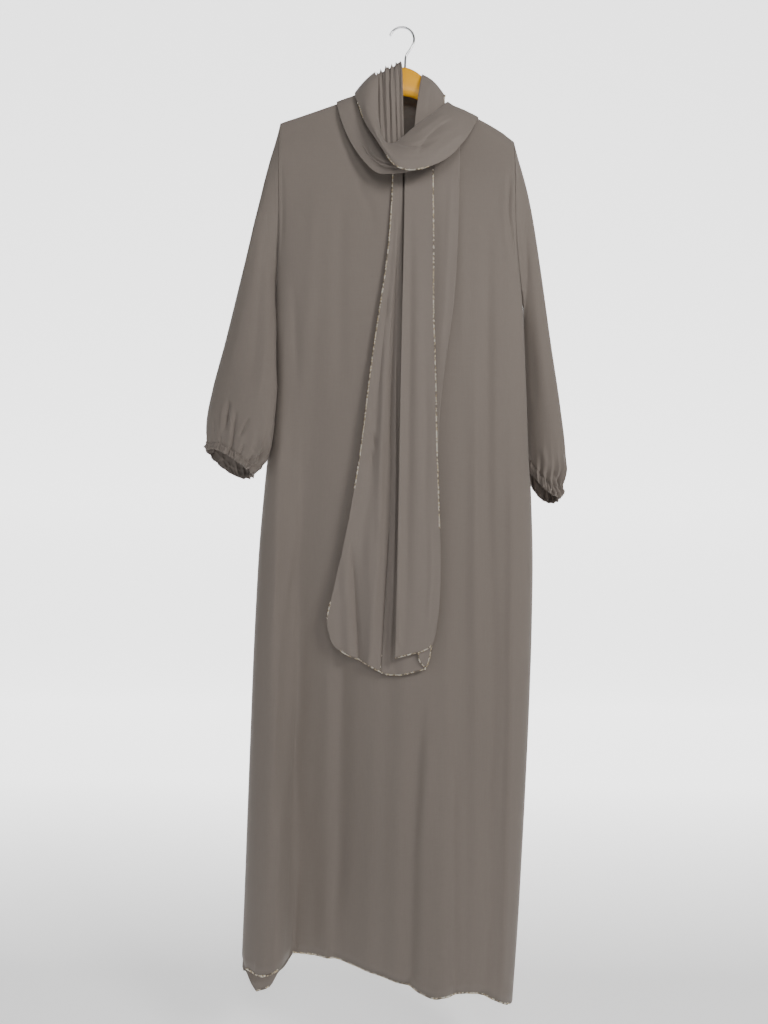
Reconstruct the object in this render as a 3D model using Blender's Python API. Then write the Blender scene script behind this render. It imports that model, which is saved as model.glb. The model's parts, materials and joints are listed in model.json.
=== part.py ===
"""A long abaya with elasticated cuffs and its scarf, hung on a wooden hanger.

Tables are in millimetres and meshes in metres. X is to the right as seen from the front, the front
faces -Y, and +Z is up. The origin is where the hook rests on what carries it, at the top inside of
its bend. Every piece of cloth is one sheet of even thickness over a surface worked out from the
tables: a point function of two numbers, read on a grid.
"""

import math
from bisect import bisect_right
from typing import Callable, NamedTuple

import bmesh
import bpy
from mathutils import Matrix, Vector

MM = 0.001

CLOTH = 2.0
SCARF_CLOTH = 1.3
SEAM_GAP = 0.3
ARMHOLE_GAP = 0.3
REST_GAP = 0.8

SHOULDER_ROUND = 9.0
SHOULDER_BLEND = 60.0
SIDE_BLEND_START = 8.0
SIDE_BLEND = 170.0
SIDE_POWER = 3.0
UNDERARM = -470.0
ARMHOLE_EASE = 170.0
ARMHOLE_REACH = 0.95
FALL_POWER = 1.8
UPPER_ROWS = 12
LOWER_ROWS = 8
UNDERARM_ROW = UPPER_ROWS / (UPPER_ROWS + LOWER_ROWS)

NECK_LEFT = -82.0
NECK_RIGHT = 88.0
FRONT_NECK_DROP = 78.0
BACK_NECK_DROP = 20.0
NECK_POWER = 0.75
NECK_PAIR = 3.0
FRONT_COLUMNS = 38
BACK_COLUMNS = 28

GATHERS = 18
COARSE_RING = 24
FINE_RING = 72
SLEEVE_POWER = 0.84
GATHER_REACH = 60.0

WIRE_RADIUS = 2.0
HOOK_BEND = 20.8
HOOK_STEM_X = 6.0
HOOK_SOCKET = 9.0

STEP = 1e-3


class Shoulder(NamedTuple):
    """Top of the cloth on the hanger: place across, height."""

    x: float
    z: float


SHOULDER_ROWS = [
    Shoulder(-222, -174),
    Shoulder(-204, -164.5),
    Shoulder(-172, -153),
    Shoulder(-104, -128),
    Shoulder(-80, -118),
    Shoulder(-60, -101),
    Shoulder(-42, -83),
    Shoulder(-23, -70.5),
    Shoulder(5, -63),
    Shoulder(33, -75),
    Shoulder(50, -94),
    Shoulder(75, -126),
    Shoulder(109, -142.5),
    Shoulder(134, -154),
    Shoulder(169, -174),
    Shoulder(190, -189),
    Shoulder(215, -209),
]


class Body(NamedTuple):
    """One level of the body: height, side seams across, how far front and back stand off."""

    z: float
    left: float
    right: float
    front: float
    back: float


BODY_ROWS = [
    Body(-1660, -248, 199, 76, 38),
    Body(-1560, -243, 206, 74, 38),
    Body(-1400, -238, 215, 71, 37),
    Body(-1184, -230.5, 224, 66, 36),
    Body(-905, -222, 229, 59, 34),
    Body(-805, -217.6, 226, 57, 33),
    Body(-738, -211, 223, 55, 32),
    Body(-638, -202.5, 219, 52, 31),
    Body(-560, -204, 216, 47, 29),
    Body(-470, -205, 210.5, 42, 27),
    Body(-411, -208, 205, 38, 25),
    Body(-300, -214, 204, 27, 20),
    Body(-200, -215, 202, 16, 14),
    Body(-120, -213, 198, 9, 9),
    Body(-50, -213, 198, 9, 9),
]


class Fold(NamedTuple):
    """A fold that widens as it falls: place at its top and at the hem, widths each side, depth."""

    top_z: float
    top_x: float
    hem_x: float
    left_width: float
    right_width: float
    depth: float
    power: float


HEM_LEVEL = -1600.0

FRONT_FOLDS = [
    Fold(-300, -174, -152, 24, 245, 57, 1.05),
    Fold(-600, -98, -86, 24, 26, 7, 1.0),
    Fold(-700, 118, 128, 34, 34, 11, 1.0),
    Fold(-260, 168, 168, 14, 18, 5, 0.6),
    Fold(-240, -140, -128, 22, 30, 5, 0.5),
    Fold(-900, 30, 36, 20, 26, 5, 1.0),
]

BACK_FOLDS = [
    Fold(-330, -120, -132, 50, 70, 20, 1.0),
    Fold(-420, -20, -12, 48, 44, 16, 1.0),
    Fold(-360, 92, 108, 52, 60, 19, 1.0),
    Fold(-260, 40, 48, 20, 20, 5, 0.5),
]


class Ring(NamedTuple):
    """One section of a sleeve: its outer and inner ends, half depth, sag and gather height."""

    outer_x: float
    outer_y: float
    outer_z: float
    inner_x: float
    inner_y: float
    inner_z: float
    depth: float
    sag: float
    back_drop: float
    gather: float


SLEEVE_LEFT_RINGS = [
    Ring(-213, 0, -176, -207.3, 0, -474, 13, 0, 0, 0),
    Ring(-220, -1, -196, -207.5, -3, -479, 15, 0, 0, 0),
    Ring(-227, -2, -228, -207.5, -7, -486, 17, 0, 0, 0),
    Ring(-237, -3, -272, -207.0, -12, -495, 19, 0, 0, 0),
    Ring(-252, -4, -338, -206.0, -18, -509, 21, 0, 0, 0),
    Ring(-270, -5, -414, -205.0, -24, -533, 23, 2, 0, 0),
    Ring(-289, -6, -492, -204.0, -29, -569, 25, 4, 1, 0),
    Ring(-306, -7, -570, -203.0, -33, -612, 27, 6, 2, 0),
    Ring(-320, -8, -636, -203.5, -36, -655, 28, 9, 4, 0),
    Ring(-326, -8, -668, -205.0, -37, -684, 28, 12, 7, 0.8),
    Ring(-328, -8, -690, -208.0, -37, -705, 28, 15, 11, 2.0),
    Ring(-325, -8, -703, -211.0, -36, -719, 26, 18, 14, 2.6),
    Ring(-327, -8, -711, -212.0, -36, -727, 28, 20, 15, 2.3),
    Ring(-323, -8, -719, -213.5, -35, -734, 26, 21, 16, 2.4),
]

SLEEVE_RIGHT_RINGS = [
    Ring(202, 0, -203, 212.5, 1, -474, 14, 0, 0, 0),
    Ring(209, 1, -219, 213.0, 3, -479, 15, 0, 0, 0),
    Ring(217, 2, -245, 213.0, 7, -486, 17, 0, 0, 0),
    Ring(226, 4, -288, 212.5, 12, -496, 18, 0, 0, 0),
    Ring(238, 6, -355, 211.5, 17, -512, 20, 0, 0, 0),
    Ring(250, 8, -432, 211.0, 22, -537, 22, 2, 0, 0),
    Ring(263, 9, -509, 211.5, 27, -572, 24, 4, 1, 0),
    Ring(274, 10, -590, 213.0, 30, -620, 25, 6, 2, 0),
    Ring(284, 10, -668, 216.0, 32, -668, 26, 8, 4, 0),
    Ring(289, 10, -708, 219.0, 32, -698, 26, 10, 7, 0.8),
    Ring(290, 10, -742, 221.0, 31, -722, 26, 12, 10, 2.0),
    Ring(287, 10, -760, 222.0, 30, -738, 24, 14, 12, 2.5),
    Ring(288, 10, -770, 223.0, 30, -747, 26, 15, 13, 2.2),
    Ring(283, 10, -780, 224.0, 29, -755, 24, 16, 14, 2.4),
]

RING_STEPS = [0, 1, 2, 3, 4, 5, 6, 7, 8, 9]
FINE_STEPS = [10, 11, 12, 13, 14]


class Section(NamedTuple):
    """One section across a stretch of scarf: its two edges, its bulge and which way it bulges.

    The lean is in degrees: 0 bulges to the front, 90 up and 180 to the back.
    """

    a_x: float
    a_y: float
    a_z: float
    b_x: float
    b_y: float
    b_z: float
    bulge: float
    lean: float


COWL_SECTIONS = [
    Section(-45, 14, -101, -79, 17, -144, 1, 160),
    Section(-45, 11, -87, -79, 14, -126, 2, 130),
    Section(-45, 3, -75, -79, 3, -113, 3, 90),
    Section(-45, -6, -74, -79, -7, -114, 3, 60),
    Section(-43.5, -13.5, -84, -78, -14, -122, 4, 30),
    Section(-39, -19, -94, -76, -20, -132, 5, 20),
    Section(-39, -24, -121, -70, -28, -148, 7, 0),
    Section(-39, -31, -153, -62, -38, -176, 8, 0),
    Section(-37, -38, -182, -52, -46, -196, 9, 0),
    Section(-32, -44, -204, -41, -55, -216, 9, -10),
    Section(-23, -48, -218, -27, -61, -240, 10, -20),
    Section(-9, -49, -217, -12, -66, -262, 11, -25),
    Section(6, -46, -203, 9, -68, -271, 12, -25),
    Section(23, -41, -186, 33, -66, -268, 12, -20),
    Section(42, -34, -169, 57, -61, -258, 12, -10),
    Section(58, -26, -153, 77, -54, -244, 11, 0),
    Section(70, -17, -138, 93, -44, -225, 9, 10),
    Section(79, -5, -125, 110, -31, -198, 7, 30),
    Section(83, 3, -124, 120, -20, -178, 6, 45),
    Section(90, 9, -129, 128, -10, -162, 5, 60),
    Section(92, 13, -134, 132, 1, -154, 5, 90),
    Section(94, 17, -142, 133, 12, -160, 4, 120),
    Section(96, 19, -154, 131, 16, -174, 3, 160),
]

BAND_SECTIONS = [
    Section(-84, 12, -146, -107, 12, -158, 1, 150),
    Section(-82, 10, -129, -109, 10, -137, 1, 120),
    Section(-78, 2, -116, -110, 3, -127, 1, 90),
    Section(-76, -7, -118, -110, -6, -129, 1, 70),
    Section(-73, -14, -132, -107, -14, -144, 2, 10),
    Section(-66, -20, -151, -101, -19, -166, 3, 0),
    Section(-57, -26, -174, -93, -23, -188, 3, 0),
    Section(-47, -32, -198, -82, -28, -212, 3, 0),
    Section(-35, -38, -221, -68, -34, -237, 3, 0),
    Section(-23, -43, -241, -52, -40, -261, 3, 0),
    Section(-10, -46, -255, -37, -45, -278, 3, 0),
    Section(4, -47, -260, -19, -49, -284, 3, 0),
    Section(20, -47, -259, 8, -50, -283, 3, 0),
    Section(38, -45, -255, 35, -48, -277, 3, 0),
    Section(56, -41, -244, 58, -43, -264, 2, 0),
]

NECK_LEFT_SECTIONS = [
    Section(-36, -27, -212, 6, -29, -222, 0, 0),
    Section(-38, -23, -185, 5, -25, -190, 0, 0),
    Section(-40, -19, -155, 4, -20, -155, 0, 0),
    Section(-41, -15.5, -122, 3, -16, -122, 0, 0),
    Section(-42, -12.5, -100, 2, -12.5, -92, 0, 10),
    Section(-42, -9.5, -88, 1, -9.5, -74, 1.5, 35),
    Section(-42, -5, -83.5, 0, -5, -66, 2.4, 65),
    Section(-42, 0, -82, 0, 0, -63.8, 2.6, 90),
    Section(-41, 5, -83.5, 0, 5, -66, 2.4, 115),
    Section(-40, 9, -90, 1, 9, -76, 1.5, 150),
    Section(-39, 9.5, -102, 2, 9.5, -96, 0, 180),
]

PLEAT_EDGES = [0.0, 0.24, 0.46, 0.68, 0.86, 1.0]
PLEAT_HEIGHT = 3.2
SEATED = SCARF_CLOTH + 1.2
RIGHT_CLEAR = 1.9

NECK_RIGHT_SECTIONS = [
    Section(21, -31, -196, 62, -22, -178, 2, 0),
    Section(23, -24, -166, 69, -14, -156, 2, 0),
    Section(27, -17, -132, 73, -11, -142, 3, 0),
    Section(31, -13, -100, 74, -10, -130, 4, 10),
    Section(34, -10.5, -86, 73, -8, -119, 5, 35),
    Section(35, -5, -79.6, 75, -4, -116, 6, 65),
    Section(35, 0, -78.0, 75, 0, -114, 6, 90),
    Section(35, 5, -79.6, 75, 4, -116, 6, 115),
    Section(34, 9.5, -86, 72, 8, -119, 4, 150),
    Section(31, 10, -104, 71, 10, -130, 2, 180),
]

BACK_SECTIONS = [
    Section(-112, 15, -140, -110, 16.5, -172, 2, 180),
    Section(-98, 16, -133, -94, 18, -176, 3, 180),
    Section(-80, 16, -118, -74, 20, -180, 5, 180),
    Section(-60, 15.5, -102, -54, 22, -180, 7, 180),
    Section(-40, 15, -88, -34, 23, -174, 9, 180),
    Section(-20, 15, -82, -14, 23, -170, 10, 180),
    Section(4, 14.5, -84, 6, 22, -170, 9, 180),
    Section(30, 13.5, -92, 30, 22, -170, 9, 180),
    Section(52, 14, -108, 52, 22, -176, 8, 180),
    Section(72, 16, -128, 76, 22, -186, 6, 180),
    Section(92, 20.5, -156, 98, 22, -200, 4, 180),
    Section(128, 22.5, -176, 126, 20, -204, 2, 180),
]


class Hang(NamedTuple):
    """One level of a hanging scarf end: height, its two edges across, how far it stands off."""

    z: float
    left: float
    right: float
    off_left: float
    off_right: float


END_LEFT_ROWS = [
    Hang(-1100, -112, 52, 17, 9),
    Hang(-1030, -115, 46, 17, 8),
    Hang(-1005, -115, 42, 17, 8),
    Hang(-933, -98, 24, 17, 8),
    Hang(-836, -78, 14, 16, 7),
    Hang(-723, -60, 10, 14, 6),
    Hang(-594, -46, 7, 11, 6),
    Hang(-481, -31, 5, 9, 6),
    Hang(-401, -20, 4, 7, 6),
    Hang(-300, -14, 4, 4, 4),
    Hang(-250, -12, 4, 2, 2),
]

END_RIGHT_ROWS = [
    Hang(-1080, 0, 56, 24, 16),
    Hang(-1032, 0, 62, 23, 16),
    Hang(-963, 1, 71, 22, 15),
    Hang(-834, 2, 69, 20, 14),
    Hang(-720, 3, 64, 18, 13),
    Hang(-577, 4, 60, 17, 13),
    Hang(-480, 5, 56, 16, 12),
    Hang(-400, 6, 56, 14, 11),
    Hang(-300, 7, 55, 8, 7),
    Hang(-250, 7, 54, 4.1, 3.9),
]

END_REAR_ROWS = [
    Hang(-1090, 28, 48, 14, 13),
    Hang(-1040, 40, 60, 14, 12),
    Hang(-963, 33, 67, 14, 9),
    Hang(-834, 24, 66, 12, 7),
    Hang(-657, 16, 68, 10, 6),
    Hang(-560, 14, 79, 8, 6),
    Hang(-480, 12, 90, 8, 5),
    Hang(-370, 11, 96, 6, 4),
    Hang(-250, 11, 99, 2, 2),
    Hang(-200, 11, 99, 2, 2),
]


class Groove(NamedTuple):
    """A soft groove down a hanging end: place and width across it as shares, depth at its foot."""

    place: float
    width: float
    depth: float


END_LEFT_GROOVES = [Groove(0.30, 0.10, 5), Groove(0.66, 0.09, 7)]
END_RIGHT_GROOVES = [Groove(0.20, 0.12, 4), Groove(0.62, 0.2, 2)]
END_REAR_GROOVES = [Groove(0.5, 0.2, 2)]


class Wood(NamedTuple):
    """One section of the hanger's wood: place, height, thickness, drop of its top below the cloth."""

    x: float
    height: float
    thickness: float
    drop: float


WOOD_ROWS = [
    Wood(-203, 8, 6, 8),
    Wood(-200, 14, 9, 4),
    Wood(-192, 21, 11, 1),
    Wood(-172, 26, 12, 0),
    Wood(-125, 29, 12, 0),
    Wood(-105, 28, 11, 0.4),
    Wood(-80, 28, 9, 3.5),
    Wood(-58, 33, 11, 1),
    Wood(-40, 37, 13, 0),
    Wood(-20, 44, 13.5, 0),
    Wood(5, 49, 14, 0),
    Wood(32, 46, 13.5, 0),
    Wood(52, 39, 12, 0.5),
    Wood(86, 28, 9, 3.5),
    Wood(110, 28, 11, 0.4),
    Wood(126, 29, 12, 0),
    Wood(162, 26, 12, 0),
    Wood(181, 21, 11, 1),
    Wood(189, 14, 9, 4),
    Wood(192, 8, 6, 8),
]

WOOD_STATIONS = 36
WOOD_RING = 12


class Finish(NamedTuple):
    """A plain finish: colour, roughness and how metallic it is."""

    name: str
    colour: tuple[float, float, float, float]
    roughness: float
    metallic: float


CREPE = Finish("taupe crepe", (0.235, 0.2, 0.175, 1.0), 0.8, 0.0)
SCARF_CREPE = Finish("taupe scarf crepe", (0.26, 0.225, 0.195, 1.0), 0.8, 0.0)
VARNISHED_WOOD = Finish("varnished wood", (0.65, 0.36, 0.05, 1.0), 0.35, 0.0)
BRIGHT_WIRE = Finish("bright wire", (0.7, 0.7, 0.72, 1.0), 0.2, 1.0)

Surface = Callable[[float, float], Vector]


class Curve:
    """A smooth curve through a few (place, value) pairs, level past its ends."""

    def __init__(self, pairs: list[tuple[float, float]]) -> None:
        ordered = sorted(pairs)
        self.at = [pair[0] for pair in ordered]
        self.value = [pair[1] for pair in ordered]
        steps = [
            (self.value[i + 1] - self.value[i]) / (self.at[i + 1] - self.at[i])
            for i in range(len(ordered) - 1)
        ]
        self.slope = [steps[0]]
        for before, after in zip(steps, steps[1:]):
            self.slope.append(0.5 * (before + after))
        self.slope.append(steps[-1])

    def __call__(self, place: float) -> float:
        """Returns the value at a place."""
        place = min(max(place, self.at[0]), self.at[-1])
        i = min(max(bisect_right(self.at, place) - 1, 0), len(self.at) - 2)
        span = self.at[i + 1] - self.at[i]
        t = (place - self.at[i]) / span
        rise = self.value[i + 1] - self.value[i]
        start = self.slope[i] * span
        end = self.slope[i + 1] * span
        bend = start * (t - 2 * t**2 + t**3) + end * (t**3 - t**2)
        return self.value[i] + rise * (3 * t**2 - 2 * t**3) + bend


def column(rows: list, key: str, name: str) -> Curve:
    """Returns one named column of a table as a curve over its key column."""
    return Curve([(getattr(row, key), getattr(row, name)) for row in rows])


def counted(rows: list, name: str, first: int = 0) -> Curve:
    """Returns one named column of a table as a curve over the row's number."""
    return Curve([(first + i, getattr(row, name)) for i, row in enumerate(rows)])


def smooth(t: float) -> float:
    """Returns a soft step from 0 to 1."""
    t = min(max(t, 0.0), 1.0)
    return t * t * (3 - 2 * t)


def mix(a: float, b: float, t: float) -> float:
    """Returns the value a share t of the way from a to b."""
    return a + (b - a) * t


def spread(count: int, start: float = 0.0, end: float = 1.0) -> list[float]:
    """Returns evenly spaced places, both ends included."""
    return [mix(start, end, i / count) for i in range(count + 1)]


SHOULDER_TOP = column(SHOULDER_ROWS, "x", "z")
SEAM_LEFT = column(BODY_ROWS, "z", "left")
SEAM_RIGHT = column(BODY_ROWS, "z", "right")
FRONT_DEPTH = column(BODY_ROWS, "z", "front")
BACK_DEPTH = column(BODY_ROWS, "z", "back")


def side_reach(z: float) -> float:
    """Returns how far toward the side seams the panels reach, less beside the armholes."""
    return 1.0 - (1.0 - ARMHOLE_REACH) * smooth((z - UNDERARM) / ARMHOLE_EASE)


def across(u: float, z: float) -> float:
    """Returns the place across the body at a height, for u from -1 at the left to 1."""
    middle = 0.5 * (SEAM_LEFT(z) + SEAM_RIGHT(z))
    half = 0.5 * (SEAM_RIGHT(z) - SEAM_LEFT(z))
    return middle + half * side_reach(z) * math.sin(0.5 * math.pi * u)


def share_across(x: float, z: float) -> float:
    """Returns a place across as a share of the half width, -1 to 1."""
    middle = 0.5 * (SEAM_LEFT(z) + SEAM_RIGHT(z))
    half = 0.5 * (SEAM_RIGHT(z) - SEAM_LEFT(z))
    return min(max((x - middle) / half, -1.0), 1.0)


def fold_depth(folds: list[Fold], x: float, z: float) -> float:
    """Returns how far the folds move the cloth inward at a place."""
    total = 0.0
    for fold in folds:
        t = (fold.top_z - z) / (fold.top_z - HEM_LEVEL)
        if t <= 0:
            continue
        centre = mix(fold.top_x, fold.hem_x, t)
        width = fold.left_width if x < centre else fold.right_width
        off = (x - centre) / (width * mix(0.7, 1.0, min(t, 1.0)))
        if abs(off) < 1:
            total += fold.depth * smooth(t) ** fold.power * (1 - off * off) ** 2
    return total


def stand_off(x: float, z: float, depth: Curve) -> float:
    """Returns how far a plain panel stands from the seam plane: round on the hanger, then fuller."""
    drop = max(SHOULDER_TOP(x) - z, 0.0)
    short = SHOULDER_ROUND - min(drop, SHOULDER_ROUND)
    rounding = math.sqrt(SHOULDER_ROUND**2 - short**2)
    fuller = max(depth(z) - SHOULDER_ROUND, 0.0) * smooth(drop / SHOULDER_BLEND)
    side = (1 - abs(share_across(x, z)) ** SIDE_POWER) ** (1 / SIDE_POWER)
    side = mix(1.0, side, smooth((drop - SIDE_BLEND_START) / SIDE_BLEND))
    return side * (rounding + fuller)


def edge_calm(x: float, z: float) -> float:
    """Returns 1 over most of a panel, falling to 0 at its side seams."""
    return 1 - abs(share_across(x, z)) ** 10


def front_y(x: float, z: float) -> float:
    """Returns the outer face of the front panel."""
    folded = fold_depth(FRONT_FOLDS, x, z) * edge_calm(x, z)
    return -0.5 * SEAM_GAP - stand_off(x, z, FRONT_DEPTH) + folded


def back_y(x: float, z: float) -> float:
    """Returns the outer face of the back panel."""
    folded = fold_depth(BACK_FOLDS, x, z) * edge_calm(x, z)
    return 0.5 * SEAM_GAP + stand_off(x, z, BACK_DEPTH) - folded


def neckline(x: float, drop: float) -> float:
    """Returns the height of a round neckline, or the shoulder outside it."""
    if x <= NECK_LEFT or x >= NECK_RIGHT:
        return SHOULDER_TOP(x)
    t = (x - NECK_LEFT) / (NECK_RIGHT - NECK_LEFT)
    line = mix(SHOULDER_TOP(NECK_LEFT), SHOULDER_TOP(NECK_RIGHT), t)
    return min(line - drop * (1 - (2 * t - 1) ** 2) ** NECK_POWER, SHOULDER_TOP(x))


def front_hem(x: float) -> float:
    """Returns the height of the front hem, which dips where it turns at the left side seam."""
    level = mix(-1559.0, -1609.0, (x + 226) / 417)
    return level - 24 * smooth((-222 - x) / 22)


def back_hem(x: float) -> float:
    """Returns the height of the back hem, which hangs lower at the left corner."""
    level = mix(-1588.0, -1600.0, (x + 226) / 417)
    corner = smooth((-168 - x) / 18) - 0.8 * smooth((-226 - x) / 18)
    return level - 50 * corner


def panel(top: Callable[[float], float], hem: Callable[[float], float], depth: Surface) -> Surface:
    """Returns the surface of a body panel, u across from -1 to 1 and t down from 0 to 1."""

    def point(u: float, t: float) -> Vector:
        top_z = -150.0
        hem_z = HEM_LEVEL
        for _ in range(6):
            top_z = top(across(u, top_z))
            hem_z = hem(across(u, hem_z))
        if t < UNDERARM_ROW:
            z = mix(top_z, UNDERARM, (t / UNDERARM_ROW) ** FALL_POWER)
        else:
            z = mix(UNDERARM, hem_z, (t - UNDERARM_ROW) / (1 - UNDERARM_ROW))
        x = across(u, z)
        return Vector((x, depth(x, z), z))

    return point


front_surface = panel(lambda x: neckline(x, FRONT_NECK_DROP), front_hem, front_y)
back_surface = panel(lambda x: neckline(x, BACK_NECK_DROP), back_hem, back_y)


def finish_material(finish: Finish) -> bpy.types.Material:
    """Returns the material of a finish, made once."""
    known = bpy.data.materials.get(finish.name)
    if known:
        return known
    material = bpy.data.materials.new(finish.name)
    material.use_nodes = True
    shader = material.node_tree.nodes["Principled BSDF"]
    shader.inputs["Base Color"].default_value = finish.colour
    shader.inputs["Roughness"].default_value = finish.roughness
    shader.inputs["Metallic"].default_value = finish.metallic
    return material


def add_object(name: str, mesh: bpy.types.Mesh, finish: Finish) -> bpy.types.Object:
    """Adds a smooth-shaded object with its finish to the scene."""
    mesh.materials.append(finish_material(finish))
    mesh.shade_smooth()
    mesh.set_sharp_from_angle(angle=math.radians(50))
    item = bpy.data.objects.new(name, mesh)
    bpy.context.scene.collection.objects.link(item)
    return item


def normal_at(surface: Surface, u: float, v: float, u_ends: tuple, v_ends: tuple) -> Vector:
    """Returns the normal of a surface, from steps that stay inside its ends."""
    u0, u1 = max(u - STEP, u_ends[0]), min(u + STEP, u_ends[1])
    v0, v1 = max(v - STEP, v_ends[0]), min(v + STEP, v_ends[1])
    along_u = surface(u1, v) - surface(u0, v)
    along_v = surface(u, v1) - surface(u, v0)
    return along_u.cross(along_v).normalized()


def join_rows(mesh: bmesh.types.BMesh, upper: list, lower: list, closed: bool, flip: bool) -> None:
    """Joins two rows of points with faces; the lower row may have a whole multiple of the points."""
    ratio = len(lower) // len(upper) if closed else 1
    count = len(upper) if closed else len(upper) - 1
    for i in range(count):
        a, b = upper[i], upper[(i + 1) % len(upper)]
        fan = [lower[(i * ratio + j) % len(lower)] for j in range(ratio + 1)]
        if ratio == 1:
            corners = [(a, b, fan[1], fan[0])]
        else:
            turn = ratio // 2
            corners = [(a, fan[j + 1], fan[j]) for j in range(turn + 1)]
            corners.append((a, b, fan[turn + 1]))
            corners += [(b, fan[j + 1], fan[j]) for j in range(turn + 1, ratio)]
        for ring in corners:
            mesh.faces.new(ring[::-1] if flip else ring)


def sheet(
    name: str,
    surface: Surface,
    rows: list[tuple[float, list[float]]],
    thickness: float,
    finish: Finish,
    closed: bool = False,
    outward: float = 1.0,
    hold: Callable[[Vector, Vector, float, float], Vector] | None = None,
) -> bpy.types.Object:
    """Builds a sheet of cloth: an outer face, an inner face behind it and the rims between them.

    Args:
        name: The object's name.
        surface: Outer face, a point for each (u, v).
        rows: For each row, its v and its list of u.
        thickness: Thickness in millimetres.
        finish: The finish.
        closed: True for a tube, whose u comes round again.
        outward: 1 where u cross v points out of the cloth, else -1.
        hold: Moves an inner point, given both points and (u, v), so that seam faces lie flat.
    """
    v_ends = (rows[0][0], rows[-1][0])
    u_ends = (-math.inf, math.inf) if closed else (rows[0][1][0], rows[0][1][-1])
    mesh = bmesh.new()
    outer: list[list] = []
    inner: list[list] = []
    for v, places in rows:
        outer_row = []
        inner_row = []
        for u in places:
            point = surface(u, v)
            behind = point - normal_at(surface, u, v, u_ends, v_ends) * thickness * outward
            if hold:
                behind = hold(point, behind, u, v)
            outer_row.append(mesh.verts.new(point * MM))
            inner_row.append(mesh.verts.new(behind * MM))
        outer.append(outer_row)
        inner.append(inner_row)
    flip = outward < 0
    for i in range(len(rows) - 1):
        join_rows(mesh, outer[i], outer[i + 1], closed, flip)
        join_rows(mesh, inner[i], inner[i + 1], closed, not flip)
    join_rows(mesh, inner[0], outer[0], closed, flip)
    join_rows(mesh, outer[-1], inner[-1], closed, flip)
    if not closed:
        first_rim = [row[0] for row in outer], [row[0] for row in inner]
        last_rim = [row[-1] for row in outer], [row[-1] for row in inner]
        join_rows(mesh, first_rim[0], first_rim[1], False, flip)
        join_rows(mesh, last_rim[0], last_rim[1], False, not flip)
    data = bpy.data.meshes.new(name)
    mesh.to_mesh(data)
    mesh.free()
    return add_object(name, data, finish)


def hold_panel(point: Vector, behind: Vector, u: float, v: float) -> Vector:
    """Keeps a panel's inner edge level with its outer one at seams and armholes."""
    at_side = abs(u) > 0.999
    if at_side and point.z > UNDERARM:
        behind.x = point.x
    elif at_side:
        behind.y = point.y
    if v == 0 and not NECK_LEFT + STEP < point.x < NECK_RIGHT - STEP:
        behind.y = point.y
        behind.x = point.x
    return behind


def column_at(x: float) -> float:
    """Returns the u of the panel column that meets the shoulder at a place across."""
    z = SHOULDER_TOP(x)
    middle = across(0, z)
    return math.asin((x - middle) / (across(1, z) - middle)) * 2 / math.pi


def panel_columns(count: int) -> list[float]:
    """Returns the columns of a panel, with a close pair at each end of the neckline."""
    places = (NECK_LEFT, NECK_LEFT + NECK_PAIR, NECK_RIGHT - NECK_PAIR, NECK_RIGHT)
    pairs = [column_at(place) for place in places]
    even = spread(count, -1, 1)
    clear = 0.8 / count
    kept = [u for u in even if min(abs(u - pair) for pair in pairs) > clear]
    return sorted(kept + pairs)


def build_body() -> None:
    """Builds the front and back panels."""
    levels = spread(UPPER_ROWS + LOWER_ROWS)
    front_rows = [(t, panel_columns(FRONT_COLUMNS)) for t in levels]
    back_rows = [(t, panel_columns(BACK_COLUMNS)) for t in levels]
    sheet("abaya_front", front_surface, front_rows, CLOTH, CREPE, outward=-1, hold=hold_panel)
    sheet("abaya_back", back_surface, back_rows, CLOTH, CREPE, hold=hold_panel)


def armhole(side: int, angle: float) -> Vector:
    """Returns a point of an armhole's edge: angle 0 at the shoulder, pi at the underarm."""
    shoulder_z = -165.0
    for _ in range(4):
        shoulder_z = SHOULDER_TOP(across(side, shoulder_z))
    turn = angle % math.tau
    down = min(turn, math.tau - turn) / math.pi
    z = mix(shoulder_z, UNDERARM, down**FALL_POWER)
    x = across(side, z)
    y = front_y(x, z) if math.sin(angle) > 0 else back_y(x, z)
    if min(down, 1 - down) < STEP:
        y = 0.0
    return Vector((x + side * ARMHOLE_GAP, y, z))


def sleeve(side: int, rings: list[Ring]) -> Surface:
    """Returns the surface of a sleeve, by angle round it and ring number down it."""
    curves = {name: counted(rings, name, 1) for name in Ring._fields}

    def ring_point(angle: float, k: float) -> Vector:
        outer = Vector([curves[name](k) for name in ("outer_x", "outer_y", "outer_z")])
        inner = Vector([curves[name](k) for name in ("inner_x", "inner_y", "inner_z")])
        gather = curves["gather"](k) * math.cos(GATHERS * angle)
        sine = math.sin(angle)
        reach = math.cos(angle) * (1 + gather / GATHER_REACH)
        swell = curves["depth"](k) * abs(sine) ** SLEEVE_POWER + gather * abs(sine) ** 0.5
        place = inner.lerp(outer, 0.5 + 0.5 * reach)
        place.y -= math.copysign(swell, sine)
        place.z -= curves["sag"](k) * sine**2
        if sine < 0:
            place.z -= curves["back_drop"](k) * abs(sine) ** SLEEVE_POWER
        return place

    def point(angle: float, k: float) -> Vector:
        if k >= 1:
            return ring_point(angle, k)
        return armhole(side, angle).lerp(ring_point(angle, 1), k)

    return point


def hold_sleeve(point: Vector, behind: Vector, u: float, v: float) -> Vector:
    """Keeps a sleeve's inner edge level with its outer one at the armhole."""
    if v == 0:
        behind.x = point.x
    return behind


def build_sleeves() -> None:
    """Builds both sleeves, each with its gathered casing."""
    coarse = [math.tau * i / COARSE_RING for i in range(COARSE_RING)]
    fine = [math.tau * i / FINE_RING for i in range(FINE_RING)]
    rows = [(k, coarse) for k in RING_STEPS]
    rows += [(k, fine) for k in FINE_STEPS]
    left = sleeve(-1, SLEEVE_LEFT_RINGS)
    right = sleeve(1, SLEEVE_RIGHT_RINGS)
    sheet("sleeve_left", left, rows, CLOTH, CREPE, closed=True, outward=-1, hold=hold_sleeve)
    sheet("sleeve_right", right, rows, CLOTH, CREPE, closed=True, hold=hold_sleeve)


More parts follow.
